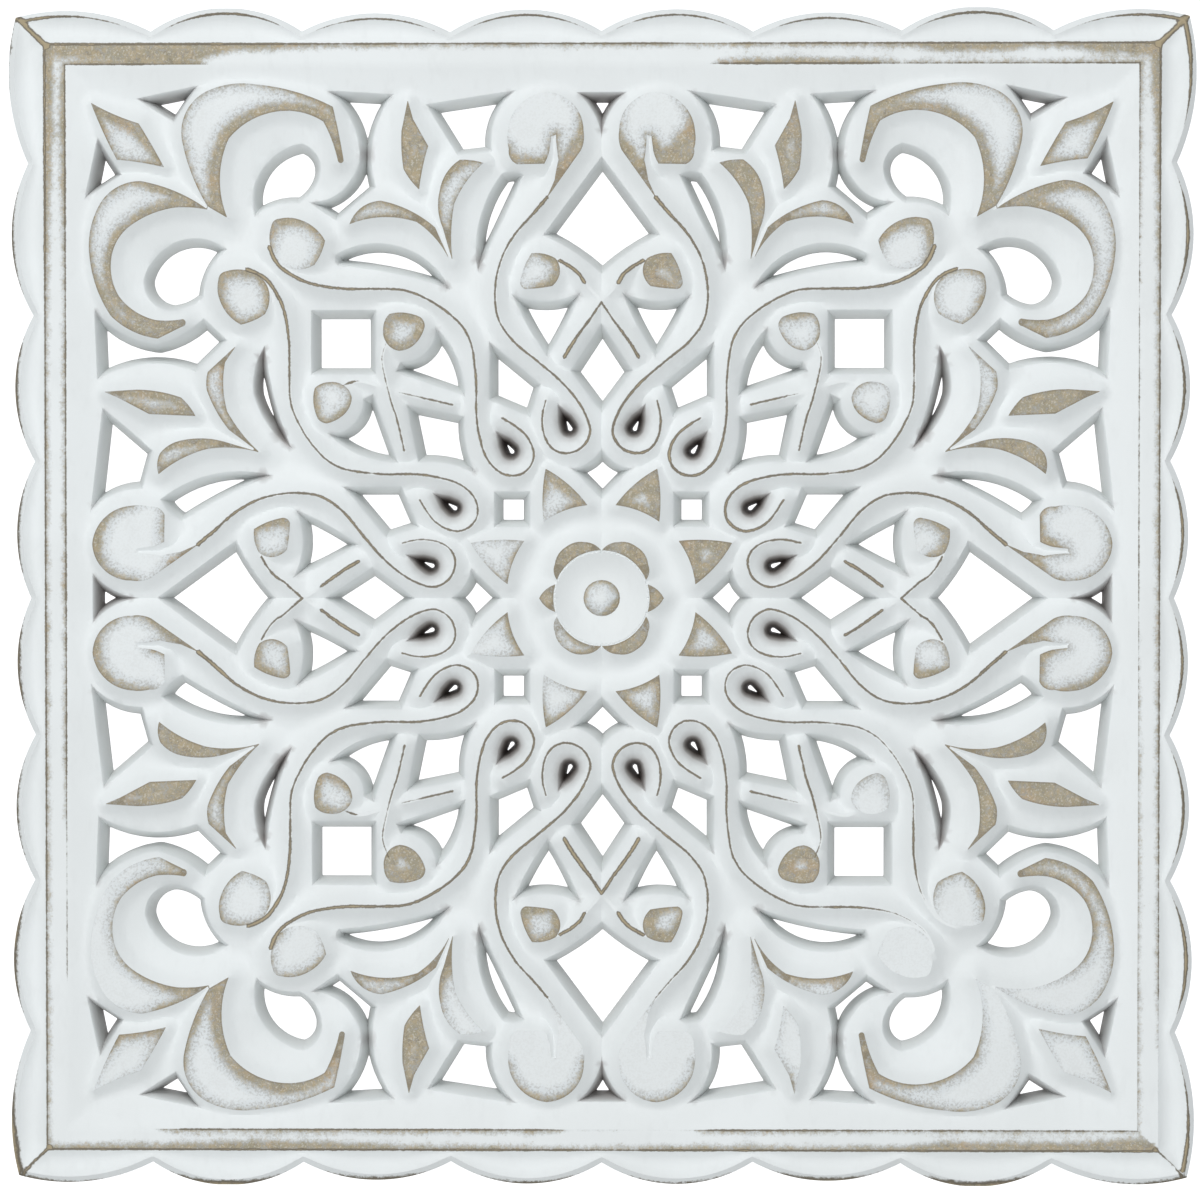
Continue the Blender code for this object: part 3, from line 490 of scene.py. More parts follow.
# ---------------------------------------------------------------------------
# Mesh of the quarter
# ---------------------------------------------------------------------------
def clip_half(parts, axis):
    """Pieces of open lines with the given coordinate at or above 0."""
    out = []
    for part in parts:
        cur, prev = [], None
        for p in part:
            p = np.array(p, float)
            if abs(p[axis]) < 1e-6:
                p[axis] = 0.0
            if prev is not None and prev[axis] * p[axis] < 0:
                q = prev + (p - prev) * prev[axis] / (prev[axis] - p[axis])
                q[axis] = 0.0
                cur.append(q)
            if p[axis] >= 0:
                cur.append(p)
            elif len(cur):
                out.append(cur)
                cur = []
            prev = p
        if len(cur):
            out.append(cur)
    return [np.array(c) for c in out if len(c) > 1]


def clip_quarter(line, closed):
    """Pieces of a line within the quarter, ending on its axes."""
    line = np.asarray(line, float)
    whole = np.vstack([line, line[:1]]) if closed else line
    return clip_half(clip_half([whole], 0), 1)


def valleys(corners, front, backs, step):
    """Valley of each tail: from a sharp corner to the opening's back edge."""
    out = []
    n = len(corners)
    for i, c in enumerate(corners):
        p = np.array(c[:2], float)
        if p.min() < -1e-6:
            continue
        j = int(np.argmin(np.hypot(*(front - p).T)))
        if np.hypot(*(front[j] - p)) > 0.5:
            continue
        a, b = front[j - 1] - p, front[(j + 1) % len(front)] - p
        turn = math.acos(np.clip(a @ b / (np.hypot(*a) * np.hypot(*b)), -1, 1))
        cross = b[0] * a[1] - b[1] * a[0]
        if cross <= 0 or turn > 2.4:
            continue
        ends = np.vstack(backs) if backs else np.zeros((0, 2))
        if len(ends) == 0:
            continue
        q = ends[int(np.argmin(np.hypot(*(ends - p).T)))]
        size = float(np.hypot(*(q - p)))
        m = max(1, int(round(size / step)))
        if m < 2:
            out.append(np.array([p, q]))
            continue
        side = np.array(((q - p)[1], -(q - p)[0])) / size
        line = [p]
        for k in range(1, m):
            base = p + (q - p) * k / m
            s = np.linspace(-12, 12, 97)
            trial = base + s[:, None] * side
            line.append(trial[int(np.argmax(depth_in(trial, front)))])
        out.append(np.array(line + [q]))
    return out


def inner_offset(edge, by):
    """The outline moved inwards."""
    out = []
    for i, p in enumerate(edge):
        if i == 0:
            out.append((0.0, p[1] - by))
            continue
        if i == len(edge) - 1:
            out.append((p[0] - by, 0.0))
            continue
        a, b = p - edge[i - 1], edge[i + 1] - p
        na, nb = np.array((a[1], -a[0])) / np.hypot(*a), np.array((b[1], -b[0])) / np.hypot(*b)
        m = na + nb
        m /= np.hypot(*m)
        turn = a[0] * b[1] - a[1] * b[0]
        grow = 1.0 if turn > 0 else 1.0 / max(0.3, float(m @ na))
        out.append(tuple(p + m * by * grow))
    return np.array(out)

WALL_POWER, POCKET_POWER = 1.75, 1.9      # how softly a wall starts at its front edge


# ---------------------------------------------------------------------------
# Finer surface: soft valleys, rounded openings
# ---------------------------------------------------------------------------
SOFT = 3.0                   # how far valleys between two bevels are rounded
REACH = 70.0                 # a crest or flat shapes the surface this far round it


def soft_min(a, b, k=SOFT):
    h = np.maximum(k - np.abs(a - b), 0) / k
    return np.minimum(a, b) - h * h * k * 0.25


def near(p, line, reach):
    lo, hi = line.min(0) - reach, line.max(0) + reach
    return np.nonzero(np.all((p > lo) & (p < hi), axis=1))[0]


def fine_relief(p, plan):
    u, v = p[:, 0], p[:, 1]
    fall = np.full(len(p), 34.0)
    for r in plan.flats:
        i = near(p, r, REACH)
        q = p[i]
        d = np.where(inside(q, r), 0, distance(q, r, True))
        fall[i] = soft_min(fall[i], bevel(d))
    for line, low in plan.crests:
        i = near(p, line, REACH)
        d = np.maximum(distance(p[i], line, False) - CREST_HALF, 0)
        fall[i] = soft_min(fall[i], low + bevel(d))
    rr = np.hypot(u, v)
    x = np.clip((rr - DOT_R) / (COVE_R - DOT_R), 0, 1)
    cove = COVE_DROP * np.cos(0.5 * math.pi * x)
    dot = DOT_DROP + (COVE_DROP - DOT_DROP) * np.clip(rr / DOT_R, 0, 1) ** 3
    fall = np.where(rr < COVE_R, np.where(rr < DOT_R, dot, cove), fall)
    inner = np.minimum(RIM_IN_U - u, RIM_IN_V - v)
    fall = soft_min(fall, RIM_CHAMFER * np.maximum(inner, 0))
    beyond = np.maximum(u - RIM_OUT_U, v - RIM_OUT_V)
    fall = np.where((inner < 0) & (beyond < 0), 0, fall)
    to_edge = distance(p, plan.edge, False)
    mitre = np.abs((u - RIM_OUT_U) - (v - RIM_OUT_V)) / math.sqrt(2)
    d1 = np.minimum(np.maximum(beyond, 0), np.where((u > RIM_OUT_U - 60) & (v > RIM_OUT_V - 60), mitre, 1e9))
    d2 = np.maximum(to_edge - EDGE_BEVEL, 0)
    scoop = SCOOP * d1 * d2 / np.maximum(d1 + d2, 1e-6)
    outer = np.where(to_edge < EDGE_BEVEL, EDGE_DROP * (EDGE_BEVEL - to_edge), scoop)
    fall = np.where(beyond >= 0, outer, fall)
    return FACE - np.maximum(fall, 0)


def fine_surface(p, plan):
    z = fine_relief(p, plan)
    for r, power in zip(plan.openings, plan.powers):
        i = near(p, r, 0.1)
        d = depth_in(p[i], r)
        t = np.clip(d / DRAFT_RUN, 0, 1)
        z[i] = z[i] * (1 - t ** power)
    for loop in plan.backs:
        i = near(p, loop, 0.5)
        i = i[distance(p[i], loop, False) < 0.02]
        z[i] = 0
    return z


# ---------------------------------------------------------------------------
# Mesh of one quarter
# ---------------------------------------------------------------------------
def densify(line, pitch):
    out = [line[0]]
    for a, b in zip(line, line[1:]):
        n = max(1, int(math.ceil(np.hypot(*(b - a)) / pitch)))
        out += [a + (b - a) * k / n for k in range(1, n + 1)]
    return np.array(out)


def ribbon(line, half):
    """Closed ring at a distance round an open line."""
    t = np.gradient(line, axis=0)
    t /= np.hypot(t[:, 0], t[:, 1])[:, None]
    n = np.column_stack([t[:, 1], -t[:, 0]]) * half
    return np.vstack([line + n, (line - n)[::-1]])


class Fine:
    PITCH = 5.3

    def __init__(self):
        pitch = {"line": 4.5, "sag": 0.08}
        self.flats, self.keys, self.sides = [], [], []
        for key, c in FLATS_OCTANT.items():
            self.add_flat(key, c, pitch, False)
            self.add_flat(key + "_low", c, pitch, True)
        for group, tag in ((FLATS_DIAGONAL, ""), (FLATS_TOP, ""), (FLATS_SIDE, "_low")):
            for key, c in group.items():
                self.add_flat(key + tag, c, pitch, False)
        self.add_flat("pointed", POINTED_LOBE, pitch, False)
        self.crests = [(thin_out(line, 0.1), low) for line, low in all_crests()]
        self.edge = outline({"line": 5.0, "sag": 0.08})
        self.openings, self.powers, self.backs, self.lines = [], [], [], []
        for group in (OPEN_AXIS, OPEN_OCTANT):
            for c in group.values():
                r = ring(c, pitch)
                self.add_opening(r, c, WALL_POWER)
                self.add_opening(swap(r)[::-1], [(v, u, 0) for u, v, _ in c], WALL_POWER)
        for group in (OPEN_DIAGONAL, OPEN_TOP, OPEN_SIDE):
            for c in group.values():
                self.add_opening(ring(c, pitch), c, WALL_POWER)
        for c in POCKETS.values():
            r = teardrop(*c, 40)
            self.add_opening(r, [(*c[0], 0)], POCKET_POWER)
            self.add_opening(swap(r)[::-1], [(c[0][1], c[0][0], 0)], POCKET_POWER)
        for r in self.flats:
            self.lines += clip_quarter(r, True)
        for line, _ in self.crests:
            self.lines += clip_quarter(ribbon(line, CREST_HALF), True)
            self.lines += clip_quarter(line, False)
        for r in (COVE_R, DOT_R):
            self.lines += clip_quarter(np.array(circle((0, 0), r, 4 * int(r / 3))), True)
        bevel_line = inner_offset(self.edge, EDGE_BEVEL)
        top = bevel_line[int(np.argmax(bevel_line.sum(1)))]
        self.bevel_line = bevel_line
        self.lines += [np.array([(RIM_IN_U, 0), (RIM_IN_U, RIM_IN_V), (0, RIM_IN_V)]),
                       np.array([(RIM_OUT_U, 0), (RIM_OUT_U, RIM_OUT_V), (0, RIM_OUT_V)]),
                       bevel_line, self.edge,
                       np.array([(0, 0), (0, self.edge[0][1])]), np.array([(0, 0), (self.edge[-1][0], 0)]),
                       np.array([(RIM_OUT_U, RIM_OUT_V), top]), np.array([top, CORNER]),
                       np.array([(RIM_IN_U, RIM_IN_V), (RIM_OUT_U, RIM_OUT_V)])]
        self.lines = [densify(np.asarray(line, float), self.PITCH) for line in self.lines]

    def add_flat(self, key, corners, pitch, swapped):
        side, n = [], len(corners)
        for i, (u, v, rise) in enumerate(corners):
            q = corners[(i + 1) % n][:2]
            pts = np.array(arc_side((u, v), q, rise, pitch) + [q])
            side.append(swap(pts) if swapped else pts)
        r = ring(corners, pitch)
        self.flats.append(swap(r)[::-1] if swapped else r)
        self.keys.append(key)
        self.sides.append(side)

    def add_opening(self, front, corners, power):
        self.openings.append(front)
        self.powers.append(power)
        self.lines += clip_quarter(front, True)
        back = []
        for line, closed in inset(front, DRAFT_RUN, 0.7):
            thin = thin_ring(line, 0.12) if closed else thin_out(line, 0.12)
            if closed and len(thin) < 3 or not closed and len(thin) < 2:
                continue
            back.append(np.vstack([thin, thin[:1]]) if closed else thin)
        self.backs += [densify(b, self.PITCH) for b in back]
        self.lines += back
        self.lines += valleys(corners, front, back, 5.0)
        for part in (0.12, 0.33, 0.65):
            for line, closed in inset(front, DRAFT_RUN * part, 0.8):
                thin = thin_ring(line, 0.25) if closed else thin_out(line, 0.25)
                if len(thin) > 2:
                    self.lines.append(np.vstack([thin, thin[:1]]) if closed else thin)

    def grid(self, step):
        """Even points, clear of every line."""
        from mathutils.kdtree import KDTree
        marks = np.vstack([densify(line, step * 0.5) for line in self.lines])
        tree = KDTree(len(marks))
        for i, m in enumerate(marks):
            tree.insert((m[0], m[1], 0), i)
        tree.balance()
        out = []
        for row in range(1, int(600 / (step * 0.866)) + 1):
            for col in range(1, int(600 / step) + 1):
                x, y = (col + 0.5 * (row % 2)) * step, row * step * 0.866
                if tree.find((x, y, 0))[2] > step * 0.5:
                    out.append((x, y))
        p = np.array(out)
        keep = inside(p, np.vstack([self.edge, [(0, 0)]]))
        for loop in self.backs:
            i = near(p, loop, 0)
            keep[i] &= ~inside(p[i], loop)
        return [tuple(q) for q in p[keep]]


def triangulate(plan, extra, snap):
    index, pts, edges = {}, [], []

    def vid(p):
        key = (round(float(p[0]) / 0.02), round(float(p[1]) / 0.02))
        if key not in index:
            index[key] = len(pts)
            pts.append(Vector((float(p[0]), float(p[1]))))
        return index[key]
    for line in plan.lines:
        ids = [vid(p) for p in line]
        edges += [(a, b) for a, b in zip(ids, ids[1:]) if a != b]
    for p in extra:
        vid(p)
    vs, _, fs, _, _, _ = delaunay_2d_cdt(pts, edges, [], 0, snap)
    v = np.array([tuple(p) for p in vs])
    f = np.array([t for t in fs if len(t) == 3])
    c = v[f].mean(1)
    keep = np.all(c > 0, axis=1)
    keep &= inside(c, np.vstack([plan.edge, [(0, 0)]]))
    for loop in plan.backs:
        i = near(c, loop, 0)
        keep[i] &= ~inside(c[i], loop)
    return v, f[keep]


def refine(plan, tol, rounds, least, snap):
    extra = plan.grid(plan.PITCH)
    v, f = triangulate(plan, extra, snap)
    for _ in range(rounds):
        z = fine_surface(v, plan)
        worst, where = np.zeros(len(f)), np.zeros((len(f), 2))
        for w in ((1 / 3, 1 / 3, 1 / 3), (0.5, 0.5, 0), (0, 0.5, 0.5), (0.5, 0, 0.5)):
            w = np.array(w)
            p = np.einsum("k,nkd->nd", w, v[f])
            err = np.abs(fine_surface(p, plan) - z[f] @ w)
            more = err > worst
            worst[more], where[more] = err[more], p[more]
        a, b, d = v[f[:, 0]], v[f[:, 1]], v[f[:, 2]]
        area = 0.5 * np.abs((b[:, 0] - a[:, 0]) * (d[:, 1] - a[:, 1]) - (b[:, 1] - a[:, 1]) * (d[:, 0] - a[:, 0]))
        longest = np.max([np.hypot(*(b - a).T), np.hypot(*(d - b).T), np.hypot(*(a - d).T)], axis=0)
        bad = np.nonzero((worst > tol) & (2 * area / longest > least))[0]
        if not len(bad):
            break
        cell, taken = {}, []
        for k in bad[np.argsort(-worst[bad])]:
            p = where[k]
            key = (int(p[0] / least), int(p[1] / least))
            if key not in cell:
                cell[key] = True
                taken.append(tuple(p))
        extra += taken
        v, f = triangulate(plan, extra, snap)
    return v, f
# ---------------------------------------------------------------------------
# Wear.  For each flat and quarter: how far in from its outline it is sanded
# down to the wood, at each corner of its ring; negative where paint covers the
# edge.  Quarters: upper left, upper right, lower left, lower right.
# ---------------------------------------------------------------------------
QUARTERS = ((-1, 1), (1, 1), (-1, -1), (1, -1))
WEAR = {
    "head": ((7, 4, 2, 3, 1, 2, 5, 9, 3, -2, -3, 6, 13, 10), (8, 4, 2, 0, 2, 8, 14, 22, 22, 9, -3, 2, 10, 10),
             (1, -2, -3, -3, -3, -3, -3, -3, -3, 1, 5, 1.5, -3, -2), (0, -2, -3, -3, -3, -3, -3, -3, -3, 0.5, 3.5, -2, -3, -3)),
    "head_low": ((4, 0, -3, -3, -3, -3, 1.5, 2.5, -2, 1.5, 9, 3, -1, 3), (7, 2, 1, 0, 1, 6, 7, 1.5, 2, -2, 3, 1, 2, 8),
                 (7, 2, 0, -2, -2, 2.5, 1, -2, 3, 4, 8, 0.5, 5, 8), (5, 2, 1, -1, 0, 4, 8, 3, 1, 7, 5, 0, 3, 8)),
    "eye": ((5, 2, -1, -2, 2, 8, 9, 6), (5, -2, -1, 0, 6, 9, 9, 9), (2, -2, -2, 2, 0.5, 1, 1, 3), (-2, -3, -3, -2, -3, -3, -3, -3)),
    "eye_low": ((4, 2.5, 5, 6, 7, 8, 9, 5), (1, 0, 1, 2, 2, 4, 3, 5), (2, 2, 1, 0, 2, 4, 4, 2), (1, 2, 0, -2, -3, -2, 3, 4)),
    "ball": ((9, 8, 8, 6, 9, 9, 9, 9), (0, 1, 1, 2, 1, 3, 7, 4), (14, 14, 14, 14, 14, 14, 14, 14), (14, 14, 14, 14, 14, 14, 14, 14)),
    "ball_low": ((4, 6, 3, 1, 1, 3, 6, 3), (4, 3, 1, 1, 0, -1, 1, 3), (7, 6, 2, 2, 7, 8, 5, 6), (1, 1, -1, -2, -3, -1, 0, 1)),
    "bud": ((9, 7, 0, -1, 1, 8), (14, 14, 6, 9, 14, 14), (9, 5, 9, 7, 4, 9), (14, 9, 3, 3, 9, 13)),
    "bud_low": ((1, 1, 2, 9, 4, 1), (3, -3, 0, 4, 9, 7), (3, 1, 5, 4, 9, 4), (1, -1, 7, 8, 3, 2)),
    "petal": ((9, -1, 10), (6, 9, 18), (3, -1, 5), (6, 4, 8)),
    "petal_low": ((3, 1.5, -1), (14, 12, 10), (4, 5, -2), (6, 8, 8)),
    "corner_leaf": ((4, 2, 6, 11), (4, 3, 9, 6), (5, 5, -2, -1), (0, 1, 1, -2)),
    "lobe": ((14, 14, 14, 14, 14), (14, 14, 14, 14, 14), (7, 0.5, 1, 2, 6), (14, 14, 14, 14, 14)),
    "crescent_r": ((0, 1.5, 9, 4, 3, 9), (12, 12, 12, 12, 12, 12), (-2, -1, 9, 9, 2, -1), (-3, -3, 3, 3, 0, -3)),
    "crescent_l": ((9, 6, 2, 5, 6), (9, 4, 5, 3, 6), (9, 4, 5, 2, 5), (8, 4, 6, -1, 4)),
    "diamond": ((12, 12, 12, 9, 12, 12), (12, 9, 9, 12, 12, 12), (12, 12, 9, 3, 9, 12), (-1, -2, -3, 0, 1, -1)),
    "curl": ((13, 3, 1.5, 1, 1, 6, 5, 5, 10, 8, 10), (12, 10, 3, 1, 2, 9, 6, 6, 9, 9, 9),
             (14, 9, 3, 0.5, 0.5, 2, 5, 5, 7, 11, 9), (-2, -3, -1, 0.5, 2, 5, 4, 4, 8, 3, 5)),
    "crescent_r_low": ((3, 1.5, 6, 3, 8, 7), (14, 14, 14, 14, 14, 14), (14, 14, 14, 14, 14, 14), (14, 14, 14, 14, 14, 14)),
    "crescent_l_low": ((5, 5, 2, 3, 3, 3, 4), (3, 3, 1, 2, 2, -1, 1), (5, 5, 3, 5, 4, 4, 5), (5, 5, 9, 9, 9, 9, 9)),
    "diamond_low": ((8, 8, 1, 1, 9, 9), (14, 14, 14, 14, 14, 14), (14, 14, 2, 2, 9, 14), (14, 14, 14, 14, 14, 14)),
    "curl_low": ((14, 9, 7, 7, 9, 12, 8, 6, 7, 9, 3, 1.5, 5), (14, 11, 6, 2, 2, 6, 5, 5, 6, 4, 1.5, 1.5, 10),
                 (9, 7, 1.5, 0.6, 1.2, 4, 5, 5, 0, -2, -3, -3, 0.5), (-1, -2, 1, 5, 5, 6, 6, 5, 6, 6, 3, 1, -1)),
    "pointed": ((7, 7, 7), (14, 14, 14), (7, 7, 7), (14, 14, 14)),
}


def wear_of_flats(uv, plan, src, signs):
    """How far a point is within the sanded part of its flat, in units."""
    out = np.full(len(src), -30.0)
    for key, r, sides in zip(plan.keys, plan.flats, plan.sides):
        i = near(uv, r, 0.5)
        if not len(i):
            continue
        i = i[inside(uv[i], r) | (distance(uv[i], r, True) < 0.05)]
        marks = [densify(np.asarray(s, float), 1.5) for s in sides]
        gaps = np.concatenate([[np.hypot(uv[i, 0] - m[0], uv[i, 1] - m[1]) for m in line] for line in marks])
        for quarter, widths in zip(QUARTERS, WEAR[key]):
            ends = np.array([w if w >= 0 else 4 * w for w in widths], float)
            along = np.concatenate([np.linspace(a, b, len(line)) for a, b, line in zip(ends, np.roll(ends, -1), marks)])
            value = np.full(len(uv), -30.0)
            value[i] = (along[:, None] - gaps).max(0)
            pick = np.all(signs == quarter, axis=1)
            out[pick] = np.maximum(out[pick], value[src[pick]])
    return out


def profile(x, steps):
    """Values read off a few (place, width) steps."""
    xs, ys = zip(*steps)
    return np.interp(x, xs, ys)


# rim: widths of the sanded band along its outer and inner line, by place
# along each side (-600 .. 600, left to right or bottom to top)
RIM_WEAR = {
    "top":    (((-560, 12), (-500, 14), (-450, 21), (-410, 18), (-370, 7), (-300, 3.5), (-200, 1.8), (100, 1.8), (300, 3),
                (335, 8), (400, 8), (430, 3.5), (470, 5), (500, 10), (560, 14)),
               ((-560, 1), (-500, 6), (-420, 9), (-400, 1), (-380, -4), (100, -4), (125, 4), (200, 6), (270, 3), (300, 1), (560, 1.5))),
    "bottom": (((-560, 4), (-450, 5), (-350, 9), (-280, 8), (-200, 4), (-100, 3), (0, 2), (60, 3.5), (140, 4), (200, 3),
                (300, 4), (340, 9), (420, 8), (480, 9), (540, 13), (560, 12)),
               ((-560, -4), (-460, -3), (-430, 1.5), (-330, 2.5), (-60, 2), (-30, -1), (90, -1), (110, 2), (200, 1), (560, 1))),
    "left":   (((-560, 1.6), (-200, 1.3), (200, 1.3), (300, 2.2), (380, 3.5), (470, 8), (560, 9)),
               ((-560, -4), (-300, -4), (-200, 0.8), (0, 1.0), (300, 1.0), (400, 2.5), (430, 4.5), (520, 5), (540, 1))),
    "right":  (((-560, -2), (-400, 0), (-200, 0.8), (-100, 1.6), (200, 1.6), (400, 2.6), (480, 5), (560, 11)),
               ((-560, 0), (-400, 0.3), (-200, 0.3), (0, -1), (300, -1), (500, 1.5), (540, 2))),
}


def wear_of_rim(uv, signs):
    u, v = uv[:, 0] * signs[:, 0], uv[:, 1] * signs[:, 1]
    a, b = uv[:, 0], uv[:, 1]
    out = np.full(len(uv), -30.0)
    upright = a - RIM_IN_U > b - RIM_IN_V
    for name, mask, place, outer, inner in (
            ("top", ~upright & (v > 0), u, RIM_OUT_V - b, b - RIM_IN_V),
            ("bottom", ~upright & (v < 0), u, RIM_OUT_V - b, b - RIM_IN_V),
            ("left", upright & (u < 0), v, RIM_OUT_U - a, a - RIM_IN_U),
            ("right", upright & (u > 0), v, RIM_OUT_U - a, a - RIM_IN_U)):
        w0, w1 = (profile(place, s) for s in RIM_WEAR[name])
        w0, w1 = np.where(w0 < 0, 4 * w0, w0), np.where(w1 < 0, 4 * w1, w1)
        value = np.maximum(w0 - np.maximum(outer, 0), w1 - np.maximum(inner, 0))
        out[mask] = value[mask]
    return out


# rim: half widths of the dark line along its outer and inner edge
RIM_LINES = {
    "top":    (((-560, 1.6), (-380, 1.6), (-300, 1.1), (-150, 1.0), (-100, 1.2), (60, 1.1), (110, 0.2), (150, 1.0), (560, 1.4)),
               ((-560, 0.6), (-460, 1.1), (-380, -2), (90, -2), (120, 1.1), (260, 1.1), (300, 0.5), (560, 0.9))),
    "bottom": (((-560, 1.3), (-30, 1.4), (0, 0.8), (40, 1.3), (560, 1.4)),
               ((-560, -2), (-450, -2), (-420, 1.1), (-60, 1.1), (-30, -0.5), (90, -0.5), (110, 1.2), (300, 1.0), (560, 0.8))),
    "left":   (((-560, 1.1), (300, 1.1), (400, 1.5), (560, 1.8)),
               ((-560, -2), (-420, -2), (-380, 0.7), (-260, 0.3), (-150, 0.9), (330, 0.9), (420, 1.2), (560, 0.8))),
    "right":  (((-560, -2), (-460, -1), (-400, 0.6), (-100, 1.0), (400, 1.1), (560, 1.6)),
               ((-560, -1), (-400, 0.5), (-300, -0.6), (-60, 0.3), (60, 0.8), (300, 0.3), (480, 0.8), (560, 0.8))),
}


def wear_of_rim_lines(uv, signs):
    """Dark lines where the rim meets the scallops and the inner chamfer."""
    u, v = uv[:, 0] * signs[:, 0], uv[:, 1] * signs[:, 1]
    a, b = uv[:, 0], uv[:, 1]
    out = np.full(len(uv), -30.0)
    upright = a - RIM_IN_U > b - RIM_IN_V
    for name, mask, place, outer, inner in (
            ("top", ~upright & (v > 0), u, b - RIM_OUT_V, b - RIM_IN_V),
            ("bottom", ~upright & (v < 0), u, b - RIM_OUT_V, b - RIM_IN_V),
            ("left", upright & (u < 0), v, a - RIM_OUT_U, a - RIM_IN_U),
            ("right", upright & (u > 0), v, a - RIM_OUT_U, a - RIM_IN_U)):
        w0, w1 = (profile(place, s) for s in RIM_LINES[name])
        value = np.maximum(w0 - np.abs(outer), w1 - np.abs(inner))
        out[mask] = value[mask]
    return out


# scallops: half width of the sanded line on the rounded edge of each arc, from
# the middle of a side outwards (four arcs), and the mitre at the corner
ARC_WEAR = {
    "top":    ((1.7, 1.5, 2.2, 2.0), (1.6, 1.6, 2.3, 2.3)),
    "bottom": ((1.6, 1.9, 2.6, 1.3), (1.4, 2.2, 3.0, 1.4)),
    "left":   ((2.0, 1.6, 2.3, 2.9), (1.8, 1.9, 1.6, 0.5)),       # downwards, upwards
    "right":  ((2.1, 2.3, 2.9, 2.7), (2.2, 2.3, 2.6, 3.0)),
}
MITRE_WEAR = {(-1, 1): 3.2, (1, 1): 3.4, (-1, -1): 2.0, (1, -1): 1.2}


def wear_of_scallops(uv, plan, signs):
    """Lines along the rounded edge, and up the mitres."""
    u, v = uv[:, 0], uv[:, 1]
    out = np.full(len(uv), -30.0)
    far = np.nonzero(np.maximum(u - RIM_OUT_U, v - RIM_OUT_V) > -2)[0]
    off = distance(uv[far], plan.bevel_line, False)
    rim_off = 0.2 + 0.36 * distance(uv[far], plan.edge, False)
    upright = u[far] > v[far]
    runs = [[p[0] for p in TOP_VALLEYS] + [CORNER[0]], [p[1] for p in SIDE_VALLEYS] + [CORNER[1]]]
    for name, axis, sign_axis, sign in (("top", 0, 1, 1), ("bottom", 0, 1, -1), ("left", 1, 0, -1), ("right", 1, 0, 1)):
        here = (upright == (axis == 1)) & (signs[far, sign_axis] == sign)
        place = uv[far, axis]
        for half in (-1, 1):
            part = here & (signs[far, axis] == half)
            width = np.full(len(far), -3.0)
            for k, w in enumerate(ARC_WEAR[name][0 if half < 0 else 1]):
                a, b = runs[axis][k], runs[axis][k + 1]
                t = np.clip((place - a) / (b - a), 0, 1)
                if k == 3:                       # the corner arc is worn right to the mitre
                    shape = np.clip(1.25 * t, 0, 1) * 1.2 - 0.25
                else:
                    shape = 1.25 * np.sin(math.pi * t) ** 0.8 - 0.45
                on = (place >= a) & (place <= b)
                width[on] = (w * np.minimum(shape, 1) - 0.5 * (shape < 0))[on]
            # left and below, the wear sits on the outermost edge
            gap = rim_off if name in ("left", "bottom") else off
            out[far[part]] = (width - gap)[part]
    corner = near(uv, np.array([(RIM_OUT_U, RIM_OUT_V), CORNER]), 6.0)
    d = np.abs((u[corner] - RIM_OUT_U) - (v[corner] - RIM_OUT_V)) / math.sqrt(2)
    for quarter, w in MITRE_WEAR.items():
        pick = np.all(signs[corner] == quarter, axis=1)
        out[corner[pick]] = np.maximum(out[corner[pick]], (w - d)[pick])
    return out


